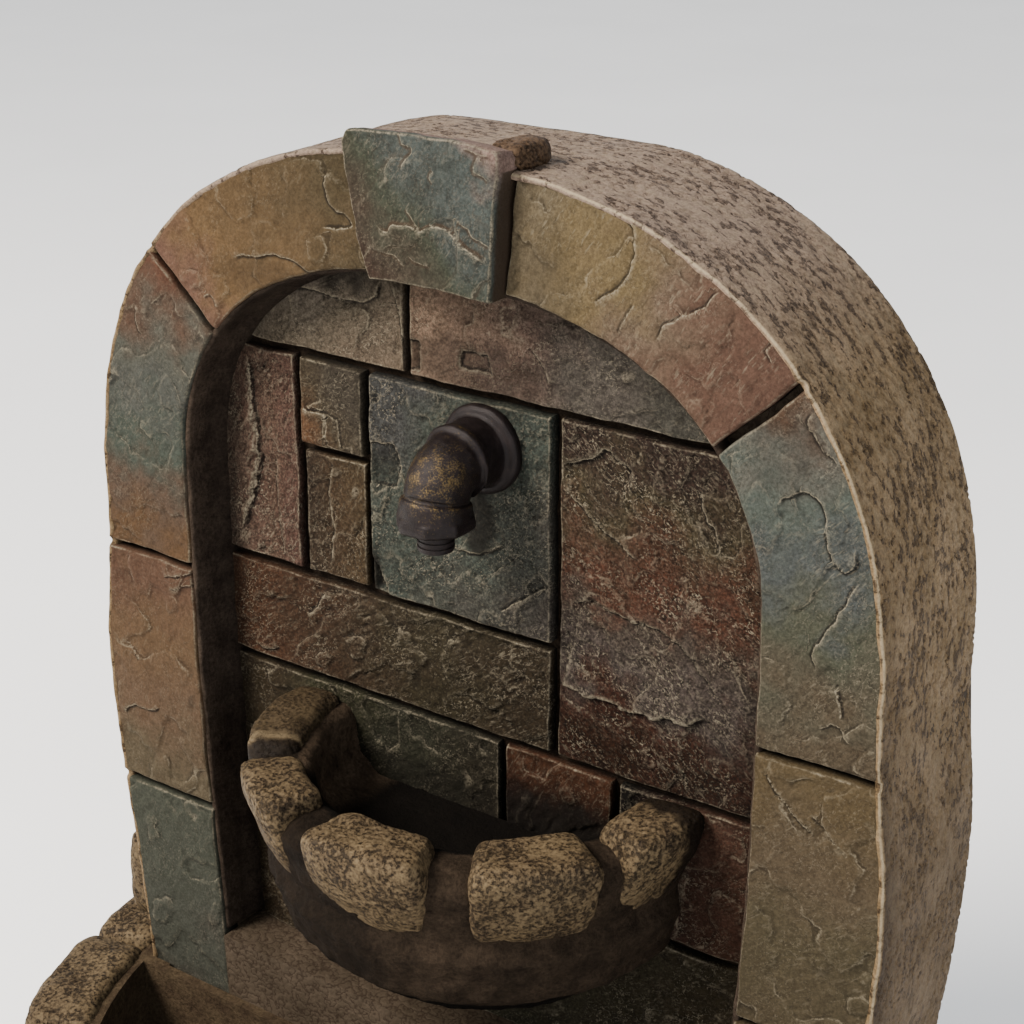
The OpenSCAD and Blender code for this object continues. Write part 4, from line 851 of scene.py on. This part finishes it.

# The niche's slabs: their columns and levels (400 and 900 are past the niche's outline, which cuts them),
# how far they stand proud of slab_y, and their stone
# Their stones' dark ovals are painted shade
slab_stones = {
    "slab_top_left": (-400, -44, 580, 900, 0, Stone(201, ["#554e44", "#4b4337", "#4d4236"],
        ((-90, 640), (-60, 582)), 25, [
            ([(-60, 630), (-64, 617), (-82, 613), (-113, 616), (-124, 613)], -2.7, 14),
            ([(-53, 628), (-47, 610), (-45, 586)], 1.8, 7)],
        shade_ovals=[(-95, 632, 52, 16, 0.7)])),
    "slab_top_right": (-44, 400, 580, 900, 1, Stone(202, ["#5e4d3f", "#4f4037", "#3d3832", "#32302a"],
        ((-40, 600), (130, 600)), 30, [([(33, 610), (42, 603), (44, 594)], 2.1, 8)],
        [([(-43, 585), (-36, 585), (-36, 601), (-43, 601)], -2.5),
         ([(-11, 592), (9, 592), (7, 602), (-9, 601)], -2.0)], shade_ovals=[(-2, 594, 62, 17, 0.5)])),
    "slab_tall": (-400, -117.5, 453, 580, 1, Stone(203, ["#40342b", "#45342b", "#44342a", "#412f27"],
        ((-172, 515), (-125, 515)), 58, [
            ([(-154, 574), (-151, 530), (-150, 515), (-155, 490), (-165, 465)], -3.6, 30),
            ([(-132, 457), (-136, 474), (-140, 494), (-138, 517)], -2.0, 10)], dust=0.8, streaks=0.5)),
    "slab_small_upper": (-117.5, -71, 528, 580, 2, Stone(204, ["#45301f", "#352d21", "#2f2a22"],
        ((-112, 535), (-80, 560)), 30, [], [
            ([(-118, 529), (-97, 530), (-99, 541), (-97, 550), (-118, 550)], 1.8),
            ([(-98, 532), (-87, 531), (-89, 548), (-97, 550)], 0.9)])),
    "slab_small_lower": (-117.5, -71, 453, 528, 0, Stone(205, ["#2b2219", "#33271a", "#372c1d"],
        ((-115, 490), (-75, 490)), 65, [
            ([(-100, 461), (-97, 481), (-98, 490), (-101, 508), (-94, 523)], -2.7, 16)],
        dust=0.65, streaks=0.4)),
    "slab_spout": (-71, 48, 453, 580, 2, Stone(206, ["#323230", "#323630", "#2f342e", "#34352f", "#36322d"],
        ((-60, 575), (45, 460)), 40, [
            ([(-17, 494), (-2, 493), (11, 499), (17, 504)], 1.7, 8),
            ([(15, 465), (29, 477), (44, 486)], -2.0, 9)],
        [([(-73, 517), (-51, 519), (-49, 530), (-53, 542), (-73, 541)], -1.8),
         ([(-73, 483), (-60, 458), (-55, 451), (-75, 451)], -3.2)], dust=0.7,
        shade_ovals=[(-60, 530, 12, 13, 0.5), (-70, 465, 8, 20, 0.85), (2, 514, 12, 26, 0.85),
                (14, 575, 22, 7, 0.3)])),
    "slab_big_right": (48, 400, 390, 580, 0, Stone(207,
        ["#22130a", "#2e1b13", "#39322d", "#372f28", "#3d261b", "#39281d", "#352e20", "#261c16"],
        ((90, 392), (100, 575)), -38, [
            ([(93, 559), (82, 562), (76, 568), (69, 561), (60, 557), (50, 554)], -2.5, 12),
            ([(51, 543), (71, 528), (98, 514)], 1.8, 9),
            ([(144, 454), (131, 466), (118, 479), (87, 481), (71, 486), (64, 484), (55, 480)], -2.2, 14),
            ([(48, 438), (55, 434), (61, 436), (68, 431), (76, 434), (85, 433), (92, 430), (101, 434),
              (109, 431), (117, 436), (126, 434), (133, 439), (141, 440)], 4.2, 26),
            ([(129, 559), (131, 546), (138, 539), (140, 526)], 1.7, 8)], dust=0.9, streaks=0.35,
        shade_ovals=[(150, 410, 40, 25, 0.3)])),
    "slab_long": (-400, 48, 390, 453, 1, Stone(208, ["#322014", "#2d2318", "#282317", "#241d13"],
        ((-160, 420), (40, 420)), 32, [
            ([(-102, 446), (-111, 431), (-118, 428)], 2.1, 12),
            ([(-158, 399), (-147, 397), (-139, 401)], 1.8, 8)], dust=0.6, streaks=0.5)),
    "slab_low_1": (-400, 15, 304, 390, 0, Stone(209, ["#231c11", "#232215", "#23231a", "#1f1c14"],
        ((-150, 350), (10, 370)), 30, dust=0.45, shade_ovals=[(-40, 345, 80, 17, 0.55)])),
    "slab_low_2": (15, 86, 304, 390, 0, Stone(210, ["#0b0604", "#1b0e08", "#331f13"],
        ((50, 335), (50, 385)), 60, dust=0.3, streaks=0.3, shade_ovals=[(52, 345, 60, 27, 0.85)])),
    "slab_low_3": (86, 400, 304, 390, 0, Stone(211, ["#0a0705", "#261812", "#332118"],
        ((92, 350), (150, 350)), 35)),
    "slab_foot_left": (-400, -30, sill_z, 304, 0, Stone(212, ["#241b0e", "#261e13", "#2a200e"],
        ((-150, 300), (-40, 220)), 30)),
    "slab_foot_right": (-30, 400, sill_z, 304, 0, Stone(213, ["#232317", "#262318", "#231c11"],
        ((-20, 300), (150, 220)), 35)),
}
cove_w = 27
cove_d = 2.6


def cove(X, Z, h):
    """Near the niche's border the stones dip into a smooth trough, painted dark for the shade that falls in
    it.
    """
    over = niche_side(np.clip(Z, 0, niche_top - 0.01)) - np.abs(X)
    under = niche_top - Z
    near = np.minimum(over, np.where(np.abs(X) < 150, under, 99))
    near = near + 3 * noise(np.stack([X, Z], -1), 22, 40) + 1.2 * noise(np.stack([X, Z], -1), 6, 41)
    deep = 1 - smooth(near / cove_w)
    return h * (1 - 0.6 * deep) - cove_d * deep, 0.28 * deep ** 1.2


# The foot slabs lie low under the bowl, where a coarser grid does
for name, (x0, x1, z0, z1, proud, stone) in slab_stones.items():
    step = grid_step if z0 > sill_z else grid_step * 1.5
    X, Z = slab_patch(x0, x1, max(z0, sill_z + 0.5), z1, step)
    lay(name, X, Z, slab_y - proud, panel_y + 0.5, stone, 1.2, cove, 2.4)


def wormed(p, size, seed, bare=0.0):
    """Worm-like pits, 0 to 1, in dense patches with smooth places between them: fewer as bare grows."""
    lines = np.abs(noise(p, size, seed) + 0.35 * noise(p, size * 0.55, seed + 1))
    pits = 1 - smooth(lines / 0.2)
    patch = smooth((noise(p, size * 7, seed + 2) + 0.5 * noise(p, size * 2.6, seed + 3) + 0.25 - bare) / 0.4)
    return pits * patch


def swept(half_line, profile, step):
    """Carries a closed profile (places in depth, shifts outward) over a half line and its mirror image.

    Gives the distances along it, depths and shifts as grids, then the line's points and outward directions.
    """
    whole = np.r_[half_line, half_line[::-1][1:] * (-1, 1)]
    total = lengths(whole)[-1]
    run = np.linspace(0, total, round(total / step))
    path = along(whole, run)
    tangent = np.gradient(path, axis=0)
    tangent /= np.linalg.norm(tangent, axis=1)[:, None]
    outward = np.stack([tangent[:, 1], -tangent[:, 0]], -1)
    S, D = np.meshgrid(run, profile[:, 0], indexing="ij")
    shift = np.repeat(profile[None, :, 1], len(run), 0)
    return S, D, shift, path[:, None], outward[:, None]


# The body's outer skin: pitted cast stone over the shell's wall, with a rubbed cream front rim
skin_step = 1.55
skin_d = back_y - ring_y
half_arch = arch_line(0, 0.2)
rim_profile = [(0.5, -1.6), (0.0, -0.9), (-0.2, -0.3), (0.0, 0.4), (0.5, 0.9), (1.3, 1.2), (2.4, 1.4)]
wall = np.arange(4, skin_d - 3, skin_step)
rear_profile = [(skin_d - 2.2, 1.3), (skin_d - 1, 0.9), (skin_d - 0.3, 0.2), (skin_d - 0.1, -0.6)]
hidden = [(skin_d - 3, -3), (20, -3), (4, -3)]
profile = np.array(rim_profile + [(place, 1.4) for place in wall] + rear_profile + hidden)
S, D, shift, path, outward = swept(half_arch, profile, skin_step)
out_by = profile[:, 1][None, :]
on_wall = smooth(profile[:, 0] / 3)[None, :] * (out_by > 0)
flat = np.stack([S * 0.8, D], -1)
flat = flat + 1.5 * np.stack([noise(flat, 13, 61), noise(flat, 13, 62)], -1)
rear = smooth((D - 60) / 40)
pits = wormed(flat, 4.6, 63, -0.1 - 0.35 * rear) * on_wall
waves = (0.5 * clouds(flat, 45, 66, 3) + 0.25 * clouds(flat, 9, 67, 3)) * on_wall
rim_part = np.exp(-((D - 0.2) / 1.2) ** 2) * (out_by > -2.5)
shift = shift + np.clip(waves, -0.8, 0.5) - 0.85 * pits
shift = shift + 0.35 * noise(np.stack([S, D * 0.3], -1), 16, 68) * rim_part
depth = ring_y + D + 0.45 * rim_part * noise(np.stack([S, 0 * S], -1), 11, 69)
# The facing's joints notch the rim on both sides
notch_half = 2.4
for point, slope, _ in cuts[1:4]:
    notch = crossing(half_arch, point, slope)
    for at in (notch, S.max() - notch):
        near = np.exp(-(np.abs(S - at) / notch_half) ** 4)
        depth = depth + notch_half * near * smooth(1 - (D - 0.2) / 5) * (out_by > -2.5)
rise = path[..., 1] + outward[..., 1] * shift
across = path[..., 0] + outward[..., 0] * shift
dx, dz = wander(across, rise)
fade = np.exp(-D / 12) * (np.abs(D) < 40)
across = across + dx * fade
rise = rise + dz * fade
fall_from = key_back + 4
ceiling = arch_top + 1.2 - 5 * np.clip((depth - fall_from) / (back_y - fall_from), 0, 1)
ceiling = ceiling + 0.3 * clouds(flat, 12, 71, 2) - 0.7 * pits
over = rise - ceiling
rise = rise - np.where(over > -2, (over + 2) ** 2 / 8 * (over < 2) + over * (over >= 2), 0)
skin = np.stack([across, depth, np.clip(rise, 0, None)], -1).reshape(-1, 3)
rows, cols = S.shape
skin_faces = [f[::-1] for f in grid_faces(rows, cols, closed=True)]
skin_faces.append(tuple(range(cols)))
skin_faces.append(tuple(range(len(skin) - 1, len(skin) - 1 - cols, -1)))
# Painted light from above on the faces turned up
top_light = smooth((outward[..., 1] - 0.55) / 0.4) + 0 * D
# The rim is rubbed in a thin line, paler to the right of the keystone
rim_line = 1.1 * np.exp(-((D - 0.3) / 0.45) ** 2) * (out_by > 0.3)
worn = np.clip(rim_line * (0.85 + 0.3 * noise(np.stack([S, D], -1), 15, 72)), 0, 1)
worn = worn * (0.35 + 0.65 * smooth((path[..., 0] + 60) / 120))
worn = np.maximum(worn, np.clip(shift - blurred(shift, 4), 0, 1) * 0.6)
# Painted shade: darker lower down, most of all beside the rim
low_shade = 0.4 * smooth((530 - rise) / 180) + 0.45 * np.exp(-D / 14) * smooth((620 - rise) / 150)
tan_stone = cast_stone("cast stone, pitted", "#5b4a32", "#736047", top="#74665d", cream="#8b7e66", worm=0.85,
                       drawn_out=True)
make("body_skin", skin, skin_faces, tan_stone, {
    "pit": pits * 0.35, "worn": worn, "wash": low_shade * (D > 2), "crown": top_light * 0.7,
    "run": S * MM * 0.6, "deep": D * MM})

# The niche's dark lining: its wall from the ring stones back to the slabs, and the bed behind their joints
lining_step = skin_step * 1.3
wall = np.arange(ring_y + 4, panel_y - 2, lining_step)
profile = np.array([(ring_y + 2.2, -0.8), (ring_y + 2.6, 0), (ring_y + 3.2, 0.4)]
                   + [(place, 0.6) for place in wall]
                   + [(panel_y, 0.6), (panel_y, -2.5), (ring_y + 3, -2.5)])
S, D, shift, path, outward = swept(niche_line(-0.6, sill_z + 6), profile, lining_step)
seen = (profile[:, 1] > 0.3)[None, :]
shift = shift + seen * (0.5 * clouds(np.stack([S, D], -1), 14, 81, 3) + 0.3)
shift = shift + seen * 3.5 * smooth((D - (slab_y - 9)) / 12)
points = np.stack([path[..., 0] - outward[..., 0] * shift, D, path[..., 1] - outward[..., 1] * shift], -1)
points = points.reshape(-1, 3)
rows, cols = S.shape
faces = list(grid_faces(rows, cols, closed=True))
faces.append(tuple(range(cols - 1, -1, -1)))
faces.append(tuple(range(len(points) - cols, len(points))))
dark_wall = mortar("mortar, stained dark", "#1c1611", "#2b231b")
lining_wall = mortar("mortar, niche wall", "#2d251f", "#443a31")
# Painted shade: darker under the top of the niche and further back into it
overhead_shade = 0.45 * smooth((path[..., 1] - 545) / 70)
make("niche_lining", points, faces, lining_wall, {
    "wash": np.maximum(overhead_shade, 0.55 * smooth((D - (ring_y + 3)) / (slab_y - ring_y)))})

bed_step = 6
bed_count = 61
z = np.arange(sill_z + 4, niche_top - 2, bed_step)
X = (niche_side(z) - 1)[:, None] * np.linspace(-1, 1, bed_count)
Z = np.repeat(z[:, None], bed_count, 1)
h = 0.8 * clouds(np.stack([X, Z], -1), 20, 85, 3)
points, faces, rim = solid_stone(X, Z, h, panel_y - 4, panel_y + 1)
make("joint_bed", points, faces, dark_wall)


def box_shell(a, b, c):
    """Points and quads of a box from -1 to 1, cut into a, b and c squares along its sides."""
    points = []
    faces = []
    counts = (a, b, c)
    for axis in range(3):
        one, two = [i for i in range(3) if i != axis]
        for side in (-1, 1):
            cuts_one, cuts_two = (np.linspace(-1, 1, counts[i] + 1) for i in (one, two))
            g, k = np.meshgrid(cuts_one, cuts_two, indexing="ij")
            p = np.zeros(g.shape + (3,))
            p[..., one], p[..., two], p[..., axis] = g, k, side
            quads = grid_faces(*g.shape, start=sum(len(q) for q in points))
            flip = (side > 0) == (axis == 1)
            faces.append(quads[:, ::-1] if flip else quads)
            points.append(p.reshape(-1, 3))
    points = np.concatenate(points)
    _, first, same = np.unique(np.round(points, 6), axis=0, return_index=True, return_inverse=True)
    return points[first], same.ravel()[np.concatenate(faces)]


def normals(points, faces):
    """The outward direction at each point of a mesh of quads."""
    a, b, c, d = (points[faces[:, i]] for i in range(4))
    face = np.cross(c - a, d - b)
    total = np.zeros_like(points)
    for i in range(4):
        np.add.at(total, faces[:, i], face)
    return total / np.maximum(np.linalg.norm(total, axis=1), 1e-9)[:, None]


def boulder(counts, place, power, seed, rough=1.0, worm=4.2):
    """A rounded stone. place turns its own box, from -1 to 1, into row mm; power sets how square it is.

    Gives its points, its faces and how pitted each point is, with pits worm mm wide.
    """
    box, faces = box_shell(*counts)
    round_by = (np.abs(box) ** power).sum(1) ** (-1 / power)
    shaped = box * (0.15 + 0.85 * round_by)[:, None]
    points = place(shaped)
    out = normals(points, faces)
    if (out * (points - points.mean(0))).sum() < 0:
        faces = faces[:, ::-1]
        out = -out
    pits = wormed(points, worm, seed)
    h = rough * (2.2 * clouds(points, 38, seed + 5, 2) + 0.8 * clouds(points, 12, seed + 6, 3)) - pits
    return points + out * h[:, None], faces, pits


def join(parts):
    """Several meshes as one: their points, faces and values in a row."""
    count = 0
    points, faces, pits = [], [], []
    for p, f, v in parts:
        points.append(p)
        faces.append(f + count)
        pits.append(v)
        count += len(p)
    return np.concatenate(points), np.concatenate(faces), np.concatenate(pits)


def around(centre, radius, half_depth, middle, half_angle, low, high, lean=0):
    """Places a boulder's box on a ring round a centre: angle along it, depth across it, height up it.

    lean is how far the outer face draws in towards its foot.
    """
    def place(q):
        angle = np.radians(180 + middle + half_angle * q[:, 0])
        share = (q[:, 2] + 1) / 2
        r = radius + half_depth * q[:, 1] - lean * (1 - share) ** 1.5 * (q[:, 1] + 1) / 2
        x = centre[0] + r * np.cos(angle)
        y = centre[1] + r * np.sin(angle)
        return np.stack([x, y, low + (high - low) * share], -1)
    return place


def between(low, high):
    """Places a boulder's box between two corners."""
    return lambda q: (low + high) / 2 + q * (high - low) / 2


def pitted(name, points, faces, pits, finish, slot="boulder_stone", worn=0, wash=0, replaces=()):
    """A cast stone piece, with the values that its material reads."""
    flat = 0 * pits
    make(name, points, faces, finish, {
        "pit": pits, "worn": flat + worn, "wash": flat + wash, "crown": flat}, replaces)


boulder_stone = cast_stone("cast stone, boulders", "#3b3022", "#534632", "#0d0805", "#5b4f3c", "#7a6a50",
                           worm=0.9, ridges=0.25)
boulder_step = 2.3
basin_centre = np.array([0, ring_y + 50])
stone_d = 45
# Each course runs this many degrees past a half turn at both ends
wrap = 9
upper_course = (10, course_h + 3, stones_top - 1, 0)
lower_course = (9, 0.2, course_h + 1, 200)
basin_groups = {"left": (range(0, 3), upper_course), "front": (range(3, 7), upper_course),
                "right": (range(7, 10), upper_course), "lower": (range(9), lower_course)}
for group, (places, (count, low, high, more_seed)) in basin_groups.items():
    parts = []
    each = (180 + 2 * wrap) / count
    for i in places:
        seed = 300 + i * 7 + more_seed
        rng = np.random.default_rng(seed)
        half_angle = each / 2 * (1 + rng.uniform(-0.01, 0.02))
        arc = math.radians(2 * half_angle) * basin_r
        radius = basin_r - stone_d / 2 - 1.5 + rng.uniform(-1.5, 0)
        counts = [round(length / boulder_step) for length in (arc, stone_d, high - low)]
        spot = around(basin_centre, radius, stone_d / 2, -wrap + (i + 0.5) * each, half_angle,
                      low, high - rng.uniform(0, 2.5))
        points, faces, pits = boulder(counts, spot, rng.uniform(5, 7), seed, 0.7)
        points[:, 2] = np.clip(points[:, 2], 0, stones_top)
        from_centre = points[:, :2] - basin_centre
        pull = np.minimum(1, (basin_r - 0.1) / np.hypot(*from_centre.T))
        points[:, :2] = basin_centre + from_centre * pull[:, None]
        parts.append((points, faces, pits))
    node = "basin_stones_" + group
    pitted(node, *join(parts), boulder_stone, replaces=[node])

# The bowl's rim stones. Each has its first and last degree from the left, middle radius, half width, top
# above the rim's height, how square it is, the degree where the painted shade on its end starts, and how much
# darker it is painted all over
bowl_step = 1.25
bowl_stones = [
    (-2, 38, 116, 18, 2, 3.6, 31, 0.5),
    (42, 69, 116, 19, 5, 4.2, None, 0),
    (79, 111, 116, 20, 6, 4.6, None, 0),
    (121, 151, 117, 20, 5, 5.5, None, 0),
    (157, 182, 116, 19, 6, 4.2, 171, 0),
]
rim_mid_r = 118
rim_stone_w = 40
rim_stone_h = 48
for i, (first, last, middle_r, half_w, lift, power, shade_from, darker_by) in enumerate(bowl_stones):
    name = f"bowl_stone_{i + 1}"
    spot = around((bowl_x, slab_y), middle_r, half_w, (first + last) / 2, (last - first) / 2,
                  rim_low - 3, rim_z + lift, 20)
    arc = math.radians(last - first) * rim_mid_r
    counts = [round(length / bowl_step) for length in (arc, rim_stone_w, rim_stone_h)]
    points, faces, pits = boulder(counts, spot, power, 400 + 9 * i, 0.7, worm=3.0)
    points[:, 1] = np.minimum(points[:, 1], slab_y + 3)
    turn = np.degrees(np.arctan2(points[:, 1] - slab_y, points[:, 0] - bowl_x)) % 360 - 180
    turn = turn + 1.5 * noise(points, 7, 470 + i)
    crescent = 0
    wash = darker_by
    # Past that degree the stone's end is painted dark: painted shade
    if shade_from:
        wash = np.maximum(0.93 * smooth((turn - shade_from) / 3), darker_by)
    if i == 0:
        crescent = np.exp(-((turn - shade_from) / 1.3) ** 2)
    pitted(name, points, faces, pits, boulder_stone, worn=crescent, wash=wash, replaces=[name])

# The bowl's mortar: pool, bed for the rim stones and the corbel under it, turned half round from the wall
pool_r = 94
pool_z = 341
bowl_outline = np.array([
    (0, pool_z), (60, pool_z), (78, pool_z), (90, pool_z + 10), (pool_r, rim_z - 9), (pool_r + 4, rim_z - 6),
    (112, rim_z - 5), (121, rim_z - 8), (125, rim_z - 16), (119, rim_low + 6), (116, rim_low - 2),
    (120, rim_low - 12), (111, rim_low - 40), (81, rim_low - 66), (43, rim_low - 88), (22, bowl_low + 1),
    (0, bowl_low)])
fine = resampled(bowl_outline, 150)
turns = np.radians(np.linspace(178, 362, 150))
R, A = np.meshgrid(fine[:, 0], turns, indexing="ij")
H = np.repeat(fine[:, 1][:, None], len(turns), 1)
base = np.stack([bowl_x + R * np.cos(A), slab_y + R * np.sin(A), H], -1)
bump = clouds(base, 26, 451, 3) * 1.6 + 0.9 * clouds(base, 8, 452, 3)
R = R + bump * (R > 30) * (R < 134)
H = H + 0.6 * clouds(base, 14, 453, 3) * (R > 30)
base = np.stack([bowl_x + R * np.cos(A), np.minimum(slab_y + R * np.sin(A), slab_y + 2), H], -1)
points = base.reshape(-1, 3)
rows, cols = R.shape
faces = [f[::-1] for f in grid_faces(rows, cols)]
index = np.arange(rows * cols).reshape(rows, cols)
faces.append(tuple(index[:, 0]))
faces.append(tuple(index[::-1, -1]))
bowl_mortar = mortar("mortar, bowl", "#2a221a", "#463a2e")
# Painted shade: the pool is dark but for its left wall, and the outside is dark, darker on its left half
in_pool = smooth((rim_z + 3 - H) / 8) * (R < pool_r + 7)
from_left = np.degrees(A) - 180
pool_shade = 0.97 * smooth((R * np.cos(A) + 80) / 20)
outer_shade = 0.8 - 0.3 * smooth((from_left - 88) / 20)
make("upper_bowl", points, faces, bowl_mortar, {
    "wash": outer_shade * (1 - in_pool) + pool_shade * in_pool}, ["upper_bowl"])

# A dark lump of resin left where the keystone's cap meets the crown
lump_low = np.array([key_top_half - 20, key_y + 13, arch_top - 2])
lump_high = np.array([key_top_half + 1, key_back + 3, arch_top + 12.5])
lump_stone = cast_stone("cast stone, dark lump", "#2a1f16", "#4a3929", cream="#665440", worm=0.6)
points, faces, pits = boulder([14, 36, 14], between(lump_low, lump_high), 3.2, 620, 1.1, worm=3.0)
pitted("keystone_lump", points, faces, pits, lump_stone, "cast_stone")

# Shoulder boulders beside the arch, on the basin's stones
for side, node in ((-1, "shoulder_left"), (1, "shoulder_right")):
    low, high = (np.array(corner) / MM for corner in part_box(node))
    inset = np.array([0.5, 1, 0.5])
    counts = [round(length / boulder_step) for length in high - low - 2 * inset]
    points, faces, pits = boulder(counts, between(low + inset, high - inset), 4.5, 500 + side, 0.5)
    pitted(node, np.clip(points, low, high), faces, pits, boulder_stone, replaces=[node])

# The spout: a cast pipe elbow, swept from its wall flange round the bend to the eight-sided skirt
flange_y = edge("spout_elbow", "y", 1)
mouth_y = 55
bend_r = 18.5
spout_z = spring_z + 84
bend_y = mouth_y + bend_r
bend_z = spout_z - bend_r
collar_low = edge("spout_elbow", "z", 0)
bend_l = bend_r * math.pi / 2
straight = flange_y + 1.5 - bend_y
total = straight + bend_l + bend_z - collar_low


def spout_place(s):
    """Point and forward direction at a distance along the spout from the wall, in its middle plane."""
    if s < straight:
        return np.array([flange_y + 1.5 - s, spout_z]), np.array([-1.0, 0.0])
    turn = (s - straight) / bend_r
    if turn < math.pi / 2:
        back = np.array([-math.sin(turn), math.cos(turn)])
        return np.array([bend_y, bend_z]) + bend_r * back, np.array([-math.cos(turn), -math.sin(turn)])
    return np.array([mouth_y, bend_z - (s - straight - bend_l)]), np.array([0.0, -1.0])


def spout_ring(centre, out, radius):
    """Points round the spout's middle line at one place on it."""
    return np.stack([spout_x + radius * np.cos(turn), centre[0] + out[0] * radius * np.sin(turn),
                     centre[1] + out[1] * radius * np.sin(turn)], -1)


# Distance along the spout and radius there, first outside and then back through the bore
outside = np.array([
    (0, 22.0), (1.2, 22.6), (2, 23.3), (4.5, 23.5), (6.2, 23.0), (7.4, 21.6), (8.2, 19.4), (9.5, 18.2),
    (12, 17.9), (20, 18.0), (23.2, 18.4), (24.2, 19.0), (25.2, 19.2), (26.0, 18.8), (26.6, 17.2),
    (27.4, 16.5), (33, 16.4), (40, 16.5), (48, 16.4), (total - 15.4, 16.3), (total - 14.8, 16.0),
    (total - 14.1, 16.1), (total - 13.6, 17.3), (total - 12.6, 17.9), (total - 8.5, 18.3),
    (total - 7.2, 18.5), (total - 6.4, 19.2), (total - 4, 19.7), (total - 1.2, 19.6), (total - 0.3, 18.9),
    (total, 17.8)])
inside = np.array([
    (total, 9.5), (total - 7.5, 9.5), (total - 8, 6.5), (total - 20, 6.5), (30, 6.5), (14, 6.5), (0, 6.5)])
outside_count = 130
stations = np.r_[resampled(outside, outside_count), resampled(inside, 60)]
around_count = 96
turn = np.linspace(0, 2 * math.pi, around_count, endpoint=False)
corner = math.pi / 4
cornered = math.cos(corner / 2) / np.cos((turn + corner / 2) % corner - corner / 2)
rings = []
worn = []
for i, (s, radius) in enumerate(stations):
    centre, ahead = spout_place(min(max(s, 0), total))
    out = np.array([-ahead[1], ahead[0]])
    if i >= outside_count:
        rings.append(spout_ring(centre, out, radius))
        worn.append(np.zeros(around_count))
        continue
    eight = smooth((s - (total - 7.6)) / 1.5)
    radius = radius * (1 + eight * 0.75 * (cornered - 0.97))
    smooth_ring = spout_ring(centre, out, radius)
    radius = radius + 0.35 * (clouds(smooth_ring, 9, 601, 3) + 0.3 * noise(smooth_ring, 1.8, 604))
    rings.append(spout_ring(centre, out, radius))
    bright = 0.0
    for at, half, much in ((24.8, 0.7, 0.6), (total - 13.2, 0.5, 0.8), (total - 6.2, 0.5, 0.2)):
        bright = max(bright, much * math.exp(-((s - at) / half) ** 2))
    # Painted highlight on the front of the bend, where the light falls
    front = smooth(0.5 - 0.9 * np.sin(turn))
    front = front * math.exp(-((s - straight - bend_l * 0.6) / (bend_l * 0.42)) ** 2)
    worn.append(np.maximum(bright, 0.7 * front))
points = np.concatenate(rings)
worn = np.concatenate(worn)
worn = worn * (0.3 + 0.7 * smooth(0.5 + noise(points, 5, 611)))
faces = grid_faces(len(rings), around_count, closed=True)
# The bore's end at the wall meets the flange
near = np.arange(around_count)
far = near + (len(rings) - 1) * around_count
faces = np.r_[faces, np.stack([far, np.roll(far, -1), np.roll(near, -1), near], -1)]
bronze = aged_bronze()
make("spout_elbow", points, faces, bronze, {"worn": worn}, ["spout_elbow"])

black = moulded_plastic("polypropylene, moulded black", "#1c1d1f", 0.5)
grey = moulded_plastic("polypropylene, moulded grey", "#77787a", 0.45)
steel = turned_steel()
rubber = soft_rubber()
tube = clear_tube()
basin_mortar = mortar("mortar, basin", "#32281e", "#463b2c")
# The rest show the CAD's own meshes
shown = {
    "body_shell": cad_cast_stone(), "basin_tub": basin_mortar, "spout_nipple": bronze, "tail_pipe": bronze,
    "seal_washer": rubber, "lock_nut": black, "hose_elbow": black, "bowl_bolts": steel, "pump_body": black,
    "impeller": grey, "intake_cover": black, "flow_dial": grey, "suction_feet": rubber, "hose": tube,
    "hose_clamps": steel, "back_cover": black, "cover_screws": steel, "cable_grommet": rubber,
    "access_door": black, "hinge_pins": steel, "door_pull": steel,
}
for name, finish in shown.items():
    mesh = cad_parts[name].data
    mesh.materials.clear()
    mesh.materials.append(finish)

# Floor, light and camera
floor_mesh = bpy.data.meshes.new("floor")
floor_half = 40
corners = [(x * floor_half, y * floor_half, 0) for x, y in ((-1, -1), (1, -1), (1, 1), (-1, 1))]
floor_mesh.from_pydata(corners, [], [(0, 1, 2, 3)])
floor = bpy.data.objects.new("floor", floor_mesh)
bpy.context.scene.collection.objects.link(floor)
made, tree, place = start("studio floor, painted pale")
cloud = add(tree, "TexNoise", {"Vector": place, "Scale": per_mm(400), "Detail": 2.0})
pale = add(tree, "ValToRGB", {"Fac": cloud}, [(0.3, "#f4f4f3"), (0.7, "#f8f8f7")])
shade(tree, cloud, 0.1, base_color=pale, roughness=0.9)
floor_mesh.materials.append(made)

world = bpy.data.worlds.new("studio")
bpy.context.scene.world = world
world.use_nodes = True
world.node_tree.nodes["Background"].inputs["Color"].default_value = linear("#f2f4f7")
world.node_tree.nodes["Background"].inputs["Strength"].default_value = 1.15


def lamp(name, place, aim, size, power, colour):
    """A round area light, aimed at a place."""
    light = bpy.data.lights.new(name, "AREA")
    light.shape = "DISK"
    light.size = size
    light.energy = power
    light.color = linear(colour)[:3]
    lamp_object = bpy.data.objects.new(name, light)
    lamp_object.location = place
    lamp_object.rotation_euler = (Vector(aim) - Vector(place)).to_track_quat("-Z", "Y").to_euler()
    bpy.context.scene.collection.objects.link(lamp_object)


lamp("key", (-1.5, -2.2, 2.9), (0, 0.1, 0.45), 1.6, 420, "#fff6ec")
lamp("fill", (2.6, -1.6, 1.6), (0, 0.1, 0.4), 2.2, 40, "#f2f6ff")

# The photo's own view, fitted to its arch, niche and joints
camera_data = bpy.data.cameras.new("camera")
camera_data.sensor_width = 36
camera_data.lens = 71.43
camera = bpy.data.objects.new("camera", camera_data)
camera.location = (0.5628, -0.6706, 0.9159)
yaw = -0.6137186
pitch = -0.3967603
ahead = Vector((math.sin(yaw) * math.cos(pitch), math.cos(yaw) * math.cos(pitch), math.sin(pitch)))
camera.rotation_euler = ahead.to_track_quat("-Z", "Y").to_euler()
bpy.context.scene.collection.objects.link(camera)
bpy.context.scene.camera = camera
